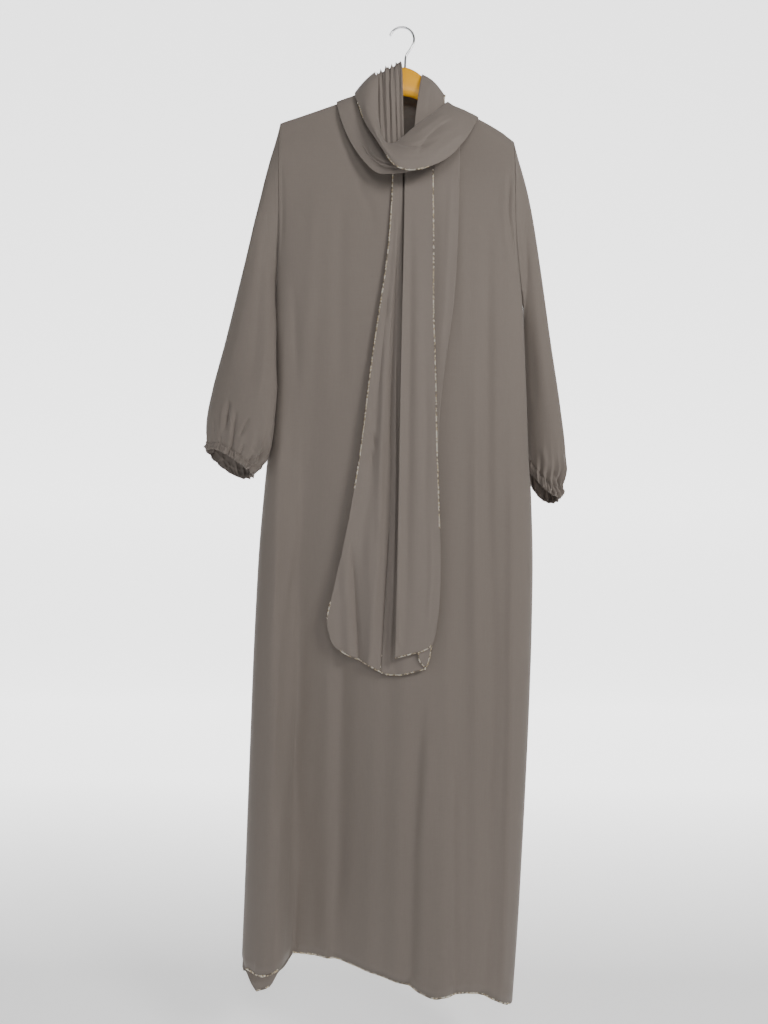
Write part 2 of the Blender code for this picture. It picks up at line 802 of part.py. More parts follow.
def arch(s: float) -> float:
    """Returns the even bulge across a section."""
    return math.sin(math.pi * s)


def pleats(s: float) -> float:
    """Returns the height of a row of soft pleats across a section, 0 to 1."""
    i = min(max(bisect_right(PLEAT_EDGES, s) - 1, 0), len(PLEAT_EDGES) - 2)
    t = (s - PLEAT_EDGES[i]) / (PLEAT_EDGES[i + 1] - PLEAT_EDGES[i])
    return math.sin(math.pi * t) ** 2


def clear_of_shoulders(place: Vector, gap: float) -> Vector:
    """Moves a point out until it lies at least a gap off the shoulders and the panels."""
    axis_z = SHOULDER_TOP(place.x) - SHOULDER_ROUND
    if place.z > axis_z:
        off = Vector((place.y, place.z - axis_z))
        short = SHOULDER_ROUND + gap - off.length
        if short > 0:
            off = off.normalized() * (SHOULDER_ROUND + gap)
            place = Vector((place.x, off[0], axis_z + off[1]))
        return place
    front = front_y(place.x, place.z) - gap
    back = back_y(place.x, place.z) + gap
    if place.y < 0:
        return Vector((place.x, min(place.y, front), place.z))
    return Vector((place.x, max(place.y, back), place.z))


def strip(
    sections: list[Section],
    shape: Callable[[float], float],
    height: float,
    gap: Callable[[float], float] | None = None,
) -> Surface:
    """Returns the surface of a stretch of scarf: s across from edge a to b, k along it."""
    curves = {name: counted(sections, name) for name in Section._fields}

    def point(s: float, k: float) -> Vector:
        start = Vector([curves[name](k) for name in ("a_x", "a_y", "a_z")])
        end = Vector([curves[name](k) for name in ("b_x", "b_y", "b_z")])
        lean = math.radians(curves["lean"](k))
        rise = curves["bulge"](k) * arch(s) + height * shape(s)
        place = start.lerp(end, s) + Vector((0, -math.cos(lean), math.sin(lean))) * rise
        return clear_of_shoulders(place, gap(place.x)) if gap else place

    return point


def cowl_gap(x: float) -> float:
    """Returns how far the loop lies off the shoulders, more where the band is under it."""
    left_clear = mix(5.15, SEATED, smooth((x + 70) / 50))
    return left_clear + RIGHT_CLEAR * smooth((x - 60) / 30)


def band_gap(x: float) -> float:
    """Returns how far the outer band lies off the shoulder."""
    return SEATED


def strip_rows(sections: list[Section], count: int, per_section: int = 1) -> list:
    """Returns the grid of a stretch of scarf."""
    last = len(sections) - 1
    return [(k, spread(count)) for k in spread(last * per_section, 0, last)]


def build_wrap() -> None:
    """Builds the stretches of scarf wound about the hanger's neck."""
    loop = strip(COWL_SECTIONS, arch, 0, cowl_gap)
    sheet("scarf_cowl", loop, strip_rows(COWL_SECTIONS, 7, 2), SCARF_CLOTH, SCARF_CREPE)
    band = strip(BAND_SECTIONS, arch, 0, band_gap)
    sheet("scarf_band_left", band, strip_rows(BAND_SECTIONS, 4, 2), SCARF_CLOTH, SCARF_CREPE)
    folded = strip(NECK_LEFT_SECTIONS, pleats, PLEAT_HEIGHT)
    rows = strip_rows(NECK_LEFT_SECTIONS, 20)
    sheet("scarf_neck_left", folded, rows, SCARF_CLOTH, SCARF_CREPE)
    over = strip(NECK_RIGHT_SECTIONS, arch, 0)
    rows = strip_rows(NECK_RIGHT_SECTIONS, 6)
    sheet("scarf_neck_right", over, rows, SCARF_CLOTH, SCARF_CREPE)
    behind = strip(BACK_SECTIONS, arch, 0)
    rows = strip_rows(BACK_SECTIONS, 6)
    sheet("scarf_back", behind, rows, SCARF_CLOTH, SCARF_CREPE, outward=-1)


def hanging(
    rows: list[Hang],
    grooves: list[Groove],
    head: Callable[[float], float],
    foot: Callable[[float], float],
) -> Surface:
    """Returns the surface of a hanging scarf end, s across and t down, off the front panel."""
    left = column(rows, "z", "left")
    right = column(rows, "z", "right")
    off_left = column(rows, "z", "off_left")
    off_right = column(rows, "z", "off_right")

    def point(s: float, t: float) -> Vector:
        z = mix(head(s), foot(s), t)
        x = mix(left(z), right(z), s)
        off = mix(off_left(z), off_right(z), s)
        for groove in grooves:
            reach = (s - groove.place) / groove.width
            off -= groove.depth * smooth(2 * t) * math.exp(-reach * reach)
        return Vector((x, front_y(x, z) - off, z))

    return point


def level_head(s: float) -> float:
    """Returns the upper edge of an end that hangs from under the middle of the wrap."""
    return -262.0


def rear_head(s: float) -> float:
    """Returns the upper edge of the rear layer, which rises to the right under the loop."""
    return mix(-262.0, -218.0, s)


def left_foot(s: float) -> float:
    """Returns the lower edge of the left end, with its soft outer corner."""
    return Curve([(0, -1006), (0.04, -1034), (0.14, -1050), (0.4, -1069), (0.62, -1087), (1, -1074)])(s)


def right_foot(s: float) -> float:
    """Returns the lower edge of the right end."""
    return Curve([(0, -1056), (0.5, -1048), (0.85, -1041), (1, -1032)])(s)


def rear_foot(s: float) -> float:
    """Returns the lower edge of the rear layer, whose corner shows below the right end."""
    return Curve([(0, -1058), (0.85, -1070), (1, -1066)])(s)


def build_ends() -> None:
    """Builds the two hanging ends of the scarf and the layer behind the right one."""
    left = hanging(END_LEFT_ROWS, END_LEFT_GROOVES, level_head, left_foot)
    right = hanging(END_RIGHT_ROWS, END_RIGHT_GROOVES, level_head, right_foot)
    rear = hanging(END_REAR_ROWS, END_REAR_GROOVES, rear_head, rear_foot)
    tall = spread(13)
    rows = [(t, spread(13)) for t in tall]
    sheet("scarf_end_left", left, rows, SCARF_CLOTH, SCARF_CREPE, outward=-1)
    rows = [(t, spread(8)) for t in tall]
    sheet("scarf_end_right", right, rows, SCARF_CLOTH, SCARF_CREPE, outward=-1)
    rows = [(t, spread(5)) for t in tall]
    sheet("scarf_end_rear", rear, rows, SCARF_CLOTH, SCARF_CREPE, outward=-1)


def build_wood() -> bpy.types.Object:
    """Builds the shaped wooden body of the hanger, with the hook's socket."""
    height = column(WOOD_ROWS, "x", "height")
    thickness = column(WOOD_ROWS, "x", "thickness")
    drop = column(WOOD_ROWS, "x", "drop")
    mesh = bmesh.new()
    rings = []
    for x in spread(WOOD_STATIONS, WOOD_ROWS[0].x, WOOD_ROWS[-1].x):
        slope = (SHOULDER_TOP(x + 1) - SHOULDER_TOP(x - 1)) / 2
        top = SHOULDER_TOP(x) - CLOTH * math.hypot(1, slope) - REST_GAP - drop(x)
        middle = top - 0.5 * height(x)
        ring = []
        for i in range(WOOD_RING):
            angle = math.tau * i / WOOD_RING
            wide = math.copysign(abs(math.sin(angle)) ** 0.7, math.sin(angle))
            tall = math.copysign(abs(math.cos(angle)) ** 0.8, math.cos(angle))
            place = Vector((x, -0.5 * thickness(x) * wide, middle + 0.5 * height(x) * tall))
            ring.append(mesh.verts.new(place * MM))
        rings.append(ring)
    for left, right in zip(rings, rings[1:]):
        join_rows(mesh, left, right, True, True)
    mesh.faces.new(rings[0])
    mesh.faces.new(rings[-1][::-1])
    data = bpy.data.meshes.new("hanger_wood")
    mesh.to_mesh(data)
    mesh.free()
    return add_object("hanger_wood", data, VARNISHED_WOOD)


def build_socket(wood: bpy.types.Object) -> None:
    """Cuts the round hole that takes the hook's stem."""
    top = SHOULDER_TOP(HOOK_STEM_X) * MM
    mesh = bmesh.new()
    bmesh.ops.create_cone(
        mesh,
        cap_ends=True,
        segments=12,
        radius1=(WIRE_RADIUS + SEAM_GAP) * MM,
        radius2=(WIRE_RADIUS + SEAM_GAP) * MM,
        depth=2 * (HOOK_SOCKET + CLOTH + REST_GAP) * MM,
        matrix=Matrix.Translation((HOOK_STEM_X * MM, 0, top)),
    )
    data = bpy.data.meshes.new("socket_cutter")
    mesh.to_mesh(data)
    mesh.free()
    cutter = bpy.data.objects.new("socket_cutter", data)
    cutter.hide_render = True
    cutter.display_type = "WIRE"
    bpy.context.scene.collection.objects.link(cutter)
    cut = wood.modifiers.new("socket", "BOOLEAN")
    cut.operation = "DIFFERENCE"
    cut.object = cutter


def build_hook() -> None:
    """Builds the wire hook: a bend over the top, an easy curve in and a straight stem."""
    centre_z = WIRE_RADIUS - HOOK_BEND
    arc = [math.radians(angle) for angle in range(164, -31, -12)]
    path = [(HOOK_BEND * math.cos(a), centre_z + HOOK_BEND * math.sin(a)) for a in arc]
    path += [(13.5, -37.5), (8.6, -43.5), (6.4, -50), (HOOK_STEM_X, -56)]
    stem_foot = SHOULDER_TOP(HOOK_STEM_X) - CLOTH - REST_GAP - HOOK_SOCKET + 2.0
    path += [(HOOK_STEM_X, -63), (HOOK_STEM_X, stem_foot)]
    data = bpy.data.curves.new("hanger_hook", "CURVE")
    data.dimensions = "3D"
    data.bevel_depth = WIRE_RADIUS * MM
    data.bevel_resolution = 3
    data.use_fill_caps = True
    wire = data.splines.new("POLY")
    wire.points.add(len(path) - 1)
    for place, point in zip(path, wire.points):
        point.co = (place[0] * MM, 0, place[1] * MM, 1)
    data.materials.append(finish_material(BRIGHT_WIRE))
    wire.use_smooth = True
    bpy.context.scene.collection.objects.link(bpy.data.objects.new("hanger_hook", data))


def clear_scene() -> None:
    """Removes every object."""
    for item in list(bpy.data.objects):
        bpy.data.objects.remove(item, do_unlink=True)


def main() -> None:
    """Builds the abaya, its scarf and the hanger."""
    clear_scene()
    build_body()
    build_sleeves()
    build_ends()
    build_wrap()
    wood = build_wood()
    build_socket(wood)
    build_hook()


main()
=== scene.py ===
"""The looks of a long taupe abaya with its own scarf, hung on a wooden hanger.

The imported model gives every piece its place. Each piece of cloth is copied from its solid, rounded
off and creased; its free edges get an overlocked metallic thread. Lengths in the tables are in
millimetres, with x across to the right and z up, as the garment's front is seen. Meshes are in metres.
"""
from __future__ import annotations

import json
import logging
import math
from contextlib import contextmanager
from dataclasses import dataclass, field
from enum import Enum
from typing import Any, Iterator, Sequence

import bmesh
import bpy
import numpy as np
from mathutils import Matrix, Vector
from mathutils.bvhtree import BVHTree
from mathutils.kdtree import KDTree

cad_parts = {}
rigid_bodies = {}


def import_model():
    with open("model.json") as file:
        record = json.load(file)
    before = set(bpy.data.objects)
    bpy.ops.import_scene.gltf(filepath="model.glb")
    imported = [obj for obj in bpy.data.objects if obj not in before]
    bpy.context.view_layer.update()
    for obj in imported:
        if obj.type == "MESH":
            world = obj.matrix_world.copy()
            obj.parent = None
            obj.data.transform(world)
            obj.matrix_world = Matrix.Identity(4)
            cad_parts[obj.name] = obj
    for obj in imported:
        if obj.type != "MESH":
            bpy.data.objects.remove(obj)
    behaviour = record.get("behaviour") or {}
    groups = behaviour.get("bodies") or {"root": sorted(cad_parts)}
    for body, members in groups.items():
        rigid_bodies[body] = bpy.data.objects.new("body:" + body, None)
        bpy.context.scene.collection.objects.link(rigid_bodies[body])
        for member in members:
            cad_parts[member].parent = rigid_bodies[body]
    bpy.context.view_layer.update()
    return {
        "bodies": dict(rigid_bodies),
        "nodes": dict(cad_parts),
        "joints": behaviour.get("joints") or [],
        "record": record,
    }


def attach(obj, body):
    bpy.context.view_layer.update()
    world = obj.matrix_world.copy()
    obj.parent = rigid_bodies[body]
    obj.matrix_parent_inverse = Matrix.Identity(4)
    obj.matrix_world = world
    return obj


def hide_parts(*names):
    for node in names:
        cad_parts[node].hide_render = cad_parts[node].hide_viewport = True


log = logging.getLogger("abaya")

MM = 0.001
WELD_DISTANCE = 0.00001
QUAD_TURN = math.radians(60)
QUAD_SKEW = math.radians(80)
SMOOTH_TURN = math.radians(58)

Array = np.ndarray
Place = tuple[float, float]
Colour = tuple[float, float, float]


class Side(Enum):
    """The side of the garment that a crease lies on."""

    FRONT = -1.0
    BACK = 1.0


class Held(Enum):
    """How a sheet of cloth is held."""

    HUNG = "hung"
    DRAPED = "draped"
    GATHERED = "gathered"


# Shader maths


class Value:
    """A node socket that Python's operators work on."""

    def __init__(self, maker: Shader, socket: bpy.types.NodeSocket) -> None:
        """Keeps the socket and the shader that it belongs to."""
        self.maker = maker
        self.socket = socket

    def _math(self, operation: str, first: Any, second: Any) -> Value:
        """Adds a Math node."""
        return self.maker.node("ShaderNodeMath", {"operation": operation}, {0: first, 1: second})

    def __add__(self, other: Any) -> Value:
        """Adds."""
        return self._math("ADD", self, other)

    __radd__ = __add__

    def __sub__(self, other: Any) -> Value:
        """Subtracts."""
        return self._math("SUBTRACT", self, other)

    def __rsub__(self, other: Any) -> Value:
        """Subtracts from a number."""
        return self._math("SUBTRACT", other, self)

    def __mul__(self, other: Any) -> Value:
        """Multiplies."""
        return self._math("MULTIPLY", self, other)

    __rmul__ = __mul__

    def above(self, limit: float) -> Value:
        """Returns 1 where the value is over a limit, else 0."""
        return self._math("GREATER_THAN", self, limit)


class Shader:
    """A material's node tree, with one method that adds any node."""

    def __init__(self, name: str) -> None:
        """Makes an empty material."""
        self.material = bpy.data.materials.new(name)
        self.material.use_nodes = True
        self.tree = self.material.node_tree
        self.tree.nodes.clear()
        self.object_place = self.node("ShaderNodeTexCoord", output="Object")

    def node(
        self,
        kind: str,
        settings: dict[str, Any] | None = None,
        sockets: dict[Any, Any] | None = None,
        output: Any = 0,
        stops: Sequence[tuple[float, Colour]] | None = None,
    ) -> Value:
        """Adds a node.

        Args:
            kind: The node's type.
            settings: Its own properties, set first.
            sockets: Values or links of its input sockets, by name or number.
            output: The output socket that is returned.
            stops: The stops of a colour ramp.

        Returns:
            The chosen output socket.
        """
        made = self.tree.nodes.new(kind)
        for key, value in (settings or {}).items():
            setattr(made, key, value)
        if stops:
            ramp = made.color_ramp
            while len(ramp.elements) < len(stops):
                ramp.elements.new(0.5)
            for element, (place, colour) in zip(ramp.elements, stops):
                element.position = place
                element.color = (*colour, 1.0)
        for key, value in (sockets or {}).items():
            socket = made.inputs[key]
            if isinstance(value, Value):
                self.tree.links.new(value.socket, socket)
            elif socket.type == "RGBA" and len(value) == 3:
                socket.default_value = (*value, 1.0)
            else:
                socket.default_value = value
        return Value(self, made.outputs[output] if len(made.outputs) else None)

    def noise(self, scale: float, detail: float = 2.0, stretch: Sequence[float] = (1, 1, 1)) -> Value:
        """Returns noise of about 0 to 1, with a feature every 1 / scale metres."""
        place = self.node("ShaderNodeMapping", sockets={"Vector": self.object_place, "Scale": stretch})
        sockets = {"Vector": place, "Scale": scale, "Detail": detail}
        return self.node("ShaderNodeTexNoise", sockets=sockets)

    def mix(self, share: Any, first: Any, second: Any) -> Value:
        """Mixes two colours."""
        sockets = {0: share, 6: first, 7: second}
        return self.node("ShaderNodeMix", {"data_type": "RGBA"}, sockets, output=2)

    def ramp(self, value: Value, stops: Sequence[tuple[float, Colour]]) -> Value:
        """Turns a value into a colour."""
        return self.node("ShaderNodeValToRGB", sockets={0: value}, stops=stops)

    def bump(self, height: Value, strength: float, distance: float) -> Value:
        """Turns a height into a normal."""
        sockets = {"Strength": strength, "Distance": distance, "Height": height}
        return self.node("ShaderNodeBump", sockets=sockets)

    def surface(self, **sockets: Any) -> bpy.types.Material:
        """Ends the material in a Principled shader.

        Args:
            **sockets: The shader's sockets, an underscore for each space in a name.

        Returns:
            The material.
        """
        named = {key.replace("_", " "): value for key, value in sockets.items()}
        shader = self.node("ShaderNodeBsdfPrincipled", sockets=named)
        self.node("ShaderNodeOutputMaterial", sockets={"Surface": shader})
        return self.material


# Finishes


@dataclass(frozen=True)
class CrepeFinish:
    """Matt crepe: a pebbled surface of tightly twisted yarn, dyed one colour.

    Attributes:
        name: The material's name.
        colour: The dyed cloth's lighter colour.
        shade: Its darker colour.
        cloud: Broad unevenness of the dye, features in a metre.
        pebble: Pebbles in a metre.
        yarn: Yarns in a metre.
        sheen: The strength of its fuzz.
    """

    name: str
    colour: Colour
    shade: Colour
    cloud: float = 5.0
    pebble: float = 1150.0
    yarn: float = 620.0
    sheen: float = 0.12

    def make(self) -> bpy.types.Material:
        """Returns the material."""
        shader = Shader(self.name)
        cloudy = shader.noise(self.cloud, 3.0, (1.0, 1.0, 0.35))
        pebbles = shader.noise(self.pebble, 3.0)
        warp = shader.noise(self.yarn, 1.0, (1.0, 1.0, 0.05))
        weft = shader.noise(self.yarn, 1.0, (0.06, 1.0, 1.0))
        grain = 0.5 * pebbles + 0.28 * warp + 0.22 * weft
        share = 0.55 * cloudy + 0.9 * grain - 0.22
        colour = shader.mix(share, self.shade, self.colour)
        return shader.surface(
            Base_Color=colour,
            Roughness=0.86 - 0.12 * pebbles,
            Normal=shader.bump(grain, 0.35, 0.0005),
            Sheen_Weight=self.sheen,
            Sheen_Roughness=0.45,
            Specular_IOR_Level=0.28,
        )


@dataclass(frozen=True)
class GoldThreadFinish:
    """Metallic thread: a flat gilt strip wound on a dull core, with glints painted into its colour here
    and there as pale highlight dots.

    Attributes:
        name: The material's name.
        pale: The colour of a painted glint, a highlight painted in as pale base colour.
        gilt: The strip's colour.
        core: The core's colour.
        glint: Painted glints in a metre.
        strand: Turns of the strip in a metre.
        metal: How metallic the strip looks.
    """

    name: str = "gold_thread"
    pale: Colour = (0.98, 0.94, 0.82)
    gilt: Colour = (0.78, 0.60, 0.32)
    core: Colour = (0.15, 0.12, 0.095)
    glint: float = 230.0
    strand: float = 2600.0
    metal: float = 0.3

    def make(self) -> bpy.types.Material:
        """Returns the material."""
        shader = Shader(self.name)
        glint = shader.noise(self.glint, 2.0)
        # The pale stop is painted highlight: glints painted into the base colour, not the thread's own
        # colour.
        stops = ((0.44, self.core), (0.49, self.gilt), (0.51, self.gilt), (0.55, self.pale))
        strand = shader.noise(self.strand, 2.0)
        return shader.surface(
            Base_Color=shader.ramp(glint, stops),
            Metallic=self.metal * glint.above(0.5),
            Roughness=0.46 - 0.3 * strand,
            Normal=shader.bump(strand, 0.5, 0.0002),
        )


@dataclass(frozen=True)
class ThreadFinish:
    """Plain sewing thread in the cloth's own colour.

    Attributes:
        name: The material's name.
        colour: Its lighter colour.
        shade: Its darker colour.
        plies: Plies of the thread in a metre.
    """

    name: str
    colour: Colour
    shade: Colour
    plies: float = 2400.0

    def make(self) -> bpy.types.Material:
        """Returns the material."""
        shader = Shader(self.name)
        ply = shader.noise(self.plies, 1.0, (1.0, 1.0, 0.3))
        return shader.surface(
            Base_Color=shader.mix(ply, self.shade, self.colour),
            Roughness=0.62 - 0.15 * ply,
            Normal=shader.bump(ply, 0.5, 0.0002),
        )


@dataclass(frozen=True)
class WoodFinish:
    """Yellow wood under clear varnish, its grain running along the hanger.

    Attributes:
        name: The material's name.
        light: The colour of its light grain.
        dark: The colour of its dark grain.
        broad: Broad bands of grain in a metre.
        streak: Fine streaks in a metre.
        pore: Pores in a metre.
        pores_over: The level of the noise over which there is a pore.
    """

    name: str = "varnished_wood"
    light: Colour = (0.95, 0.47, 0.008)
    dark: Colour = (0.80, 0.35, 0.004)
    broad: float = 60.0
    streak: float = 420.0
    pore: float = 1500.0
    pores_over: float = 0.63

    def make(self) -> bpy.types.Material:
        """Returns the material."""
        shader = Shader(self.name)
        broad = shader.noise(self.broad, 3.0, (0.06, 1.0, 1.0))
        streak = shader.noise(self.streak, 2.0, (0.04, 1.0, 1.0))
        pores = shader.noise(self.pore, 1.0, (0.08, 1.0, 1.0)).above(self.pores_over)
        grain = 0.65 * broad + 0.45 * streak - 0.05 - 0.25 * pores
        return shader.surface(
            Base_Color=shader.mix(grain, self.dark, self.light),
            Roughness=0.55 - 0.12 * streak,
            Normal=shader.bump(streak, 0.15, 0.0003),
            Specular_IOR_Level=0.3,
            Coat_Weight=0.2,
            Coat_Roughness=0.22,
        )


@dataclass(frozen=True)
class WireFinish:
    """Bright plated steel wire with fine drawing marks.

    Attributes:
        name: The material's name.
        bright: The plating's colour.
        dull: The colour of its dull spots.
        mark: Drawing marks in a metre.
        spot: Spots in a metre.
    """

    name: str = "bright_wire"
    bright: Colour = (0.80, 0.80, 0.82)
    dull: Colour = (0.55, 0.55, 0.57)
    mark: float = 900.0
    spot: float = 140.0

    def make(self) -> bpy.types.Material:
        """Returns the material."""
        shader = Shader(self.name)
        marks = shader.noise(self.mark, 2.0, (1.0, 1.0, 0.2))
        spots = shader.noise(self.spot, 2.0)
        return shader.surface(
            Base_Color=shader.mix(spots, self.dull, self.bright),
            Metallic=1.0,
            Roughness=0.12 + 0.16 * marks,
            Normal=shader.bump(marks, 0.12, 0.0001),
        )


@dataclass(frozen=True)
class PaperFinish:
    """The plain pale sweep that the part hangs before, which glows where it is a wall.

    Attributes:
        name: The material's name.
        colour: Its colour.
        fibre: Faint clouds in a metre.
        darker: The share of its colour that it has in them.
        glow: The wall's own light.
        glow_from: The depth from which it grows, in metres.
        glow_over: The way over which it grows.
        least: The share of it that the floor has.
    """

    name: str = "pale_sweep"
    colour: Colour = (0.84, 0.84, 0.84)
    fibre: float = 3.0
    darker: float = 0.985
    glow: float = 2.3
    glow_from: float = 0.25
    glow_over: float = 1.1
    least: float = 0.16

    def make(self) -> bpy.types.Material:
        """Returns the material."""
        shader = Shader(self.name)
        fibres = shader.noise(self.fibre, 4.0)
        darker = tuple(self.darker * part for part in self.colour)
        depth = shader.node("ShaderNodeSeparateXYZ", sockets={0: shader.object_place}, output=1)
        share = (depth - self.glow_from) * (1.0 / self.glow_over)
        dim = (self.least, self.least, self.least)
        return shader.surface(
            Base_Color=shader.mix(fibres, darker, self.colour),
            Roughness=0.9,
            Emission_Color=shader.ramp(share, ((0.0, dim), (1.0, (1.0, 1.0, 1.0)))),
            Emission_Strength=self.glow,
        )


@dataclass(frozen=True)
class Finishes:
    """Every material of the scene, made once."""

    gown: bpy.types.Material
    scarf: bpy.types.Material
    gold: bpy.types.Material
    thread: bpy.types.Material
    wood: bpy.types.Material
    wire: bpy.types.Material
    sweep: bpy.types.Material

    @classmethod
    def make(cls) -> Finishes:
        """Makes the materials."""
        return cls(
            gown=CrepeFinish("crepe", (0.197, 0.168, 0.146), (0.152, 0.129, 0.111)).make(),
            scarf=CrepeFinish("scarf_crepe", (0.212, 0.181, 0.158), (0.163, 0.139, 0.121)).make(),
            gold=GoldThreadFinish().make(),
            thread=ThreadFinish("taupe_thread", (0.24, 0.205, 0.178), (0.15, 0.125, 0.105)).make(),
            wood=WoodFinish().make(),
            wire=WireFinish().make(),
            sweep=PaperFinish().make(),
        )


# Mesh helpers


def deselect_all() -> None:
    """Deselects every object."""
    bpy.ops.object.select_all(action="DESELECT")


def activate(piece: bpy.types.Object) -> None:
    """Selects one object and nothing else."""
    deselect_all()
    piece.select_set(True)
    bpy.context.view_layer.objects.active = piece


@contextmanager
def editing(piece: bpy.types.Object) -> Iterator[None]:
    """Opens a piece in edit mode."""
    activate(piece)
    bpy.ops.object.mode_set(mode="EDIT")
    try:
        yield
    finally:
        bpy.ops.object.mode_set(mode="OBJECT")


def link(name: str, mesh: bpy.types.Mesh, material: bpy.types.Material) -> bpy.types.Object:
    """Adds an object with one material."""
    piece = bpy.data.objects.new(name, mesh)
    bpy.context.scene.collection.objects.link(piece)
    mesh.materials.clear()
    mesh.materials.append(material)
    return piece


def welded_copy(node: bpy.types.Object, name: str, material: bpy.types.Material) -> bpy.types.Object:
    """Copies a solid, joins its loose triangles and turns them back into four-sided faces."""
    piece = link(name, node.data.copy(), material)
    piece.data.polygons.foreach_set("material_index", [0] * len(piece.data.polygons))
    with editing(piece):
        bpy.ops.mesh.select_all(action="SELECT")
        bpy.ops.mesh.remove_doubles(threshold=WELD_DISTANCE)
        bpy.ops.mesh.tris_convert_to_quads(face_threshold=QUAD_TURN, shape_threshold=QUAD_SKEW)
    return piece


def split_long_edges(piece: bpy.types.Object, longest: float) -> None:
    """Halves the edges of a piece that are longer than a length in millimetres."""
    with editing(piece):
        bpy.ops.mesh.select_mode(type="EDGE")
        bpy.ops.mesh.select_all(action="DESELECT")
    for edge in piece.data.edges:
        first, second = (piece.data.vertices[i].co for i in edge.vertices)
        edge.select = (first - second).length > longest * MM
    with editing(piece):
        bpy.ops.mesh.subdivide(number_cuts=1)


def split_low_faces(piece: bpy.types.Object, below: float) -> None:
    """Halves the faces of a piece that lie below a height in millimetres, both ways."""
    with editing(piece):
        bpy.ops.mesh.select_mode(type="FACE")
        bpy.ops.mesh.select_all(action="DESELECT")
    for face in piece.data.polygons:
        face.select = face.center.z < below * MM
    with editing(piece):
        bpy.ops.mesh.subdivide(number_cuts=1)


def crease_sharp_edges(piece: bpy.types.Object, angle: float) -> None:
    """Creases the edges at a piece's rims, so that rounding off keeps them where they are."""
    mesh = bmesh.new()
    mesh.from_mesh(piece.data)
    layer = mesh.edges.layers.float.new("crease_edge")
    for edge in mesh.edges:
        if edge.calc_face_angle(0.0) > math.radians(angle):
            edge[layer] = 1.0
    mesh.to_mesh(piece.data)
    mesh.free()


def round_off(piece: bpy.types.Object, levels: int) -> None:
    """Rounds a piece off with a Subdivision Surface modifier, which is applied."""
    modifier = piece.modifiers.new("round_off", "SUBSURF")
    modifier.levels = levels
    modifier.render_levels = levels
    activate(piece)
    bpy.ops.object.modifier_apply(modifier=modifier.name)


def places_of(piece: bpy.types.Object) -> Array:
    """Returns a piece's points in millimetres, a row for each."""
    flat = np.empty(len(piece.data.vertices) * 3, dtype=np.float32)
    piece.data.vertices.foreach_get("co", flat)
    return flat.reshape(-1, 3).astype(np.float64) / MM


def move_to(piece: bpy.types.Object, places: Array) -> None:
    """Moves a piece's points to places in millimetres."""
    piece.data.vertices.foreach_set("co", (places * MM).astype(np.float32).ravel())
    piece.data.update()


def shade(piece: bpy.types.Object) -> None:
    """Shades a piece smooth, but for its rims."""
    activate(piece)
    bpy.ops.object.shade_smooth_by_angle(angle=SMOOTH_TURN)


def smooth(t: Array) -> Array:
    """Returns the smooth step of a share, 0 below 0 and 1 above 1."""
    t = np.clip(t, 0.0, 1.0)
    return t * t * (3 - 2 * t)


def unit(vectors: Array) -> Array:
    """Returns vectors at length 1."""
    return vectors / np.maximum(np.linalg.norm(vectors, axis=-1, keepdims=True), 1e-9)


def smooth_path(corners: Sequence[Sequence[float]], steps: int = 8) -> Array:
    """Returns a Catmull-Rom curve through corners."""
    points = np.array(corners, dtype=float)
    padded = np.vstack([2 * points[0] - points[1], points, 2 * points[-1] - points[-2]])
    out = []
    for i in range(1, len(padded) - 2):
        before, start, end, after = padded[i - 1 : i + 3]
        for t in np.arange(steps) / steps:
            bend = (2 * before - 5 * start + 4 * end - after) * t**2
            twist = (3 * start - before - 3 * end + after) * t**3
            out.append(0.5 * (2 * start + (end - before) * t + bend + twist))
    out.append(points[-1])
    return np.array(out)


def resampled(path: Array, step: float, closed: bool = False) -> Array:
    """Returns a path's points at an even spacing."""
    if closed:
        path = np.vstack([path, path[:1]])
    lengths = np.linalg.norm(np.diff(path, axis=0), axis=1)
    run = np.concatenate([[0.0], np.cumsum(lengths)])
    count = max(int(round(run[-1] / step)), 2)
    places = np.linspace(0, run[-1], count + 1)
    if closed:
        places = places[:-1]
    return np.stack([np.interp(places, run, path[:, axis]) for axis in range(3)], axis=1)


def outer_normals(piece: bpy.types.Object, outward: Array) -> Array:
    """Returns the normals of a piece's outer face alone, at its rims too.

    Args:
        piece: The piece.
        outward: The direction out of the cloth at each point.

    Returns:
        A normal for each point, and the outward direction where no outer face meets it.
    """
    least_facing = 0.35
    trace = 0.001
    mesh = piece.data
    normals = np.empty(len(mesh.polygons) * 3, dtype=np.float32)
    mesh.polygons.foreach_get("normal", normals)
    normals = normals.reshape(-1, 3).astype(np.float64)
    sizes = np.empty(len(mesh.polygons), dtype=np.int32)
    mesh.polygons.foreach_get("loop_total", sizes)
    corners = np.empty(len(mesh.loops), dtype=np.int32)
    mesh.loops.foreach_get("vertex_index", corners)
    each = normals[np.repeat(np.arange(len(sizes)), sizes)]
    outer = (each * outward[corners]).sum(axis=1) > least_facing
    total = outward * trace
    np.add.at(total, corners[outer], each[outer])
    return unit(total)


def bent(table: Sequence[Place], at: Array) -> Array:
    """Returns the values of a smooth curve through a table of places and values."""
    line = smooth_path([(place, value, 0.0) for place, value in table])
    return np.interp(at, line[:, 0], line[:, 1])


def calm_inside(piece: bpy.types.Object, rounds: int, angle: float) -> None:
    """Evens out a piece's faces, but for edges that turn by more than an angle in degrees."""
    mesh = bmesh.new()
    mesh.from_mesh(piece.data)
    limit = math.radians(angle)
    inner = [v for v in mesh.verts if all(edge.calc_face_angle(0.0) < limit for edge in v.link_edges)]
    every_way = {"use_axis_x": True, "use_axis_y": True, "use_axis_z": True}
    for _ in range(rounds):
        bmesh.ops.smooth_vert(mesh, verts=inner, factor=0.5, **every_way)
    mesh.to_mesh(piece.data)
    mesh.free()


# Fitting a solid's form to the garment's own line


@dataclass(frozen=True)
class Nudge:
    """A small move of the cloth at a place, in millimetres across and up."""

    x: float
    z: float
    right: float
    up: float


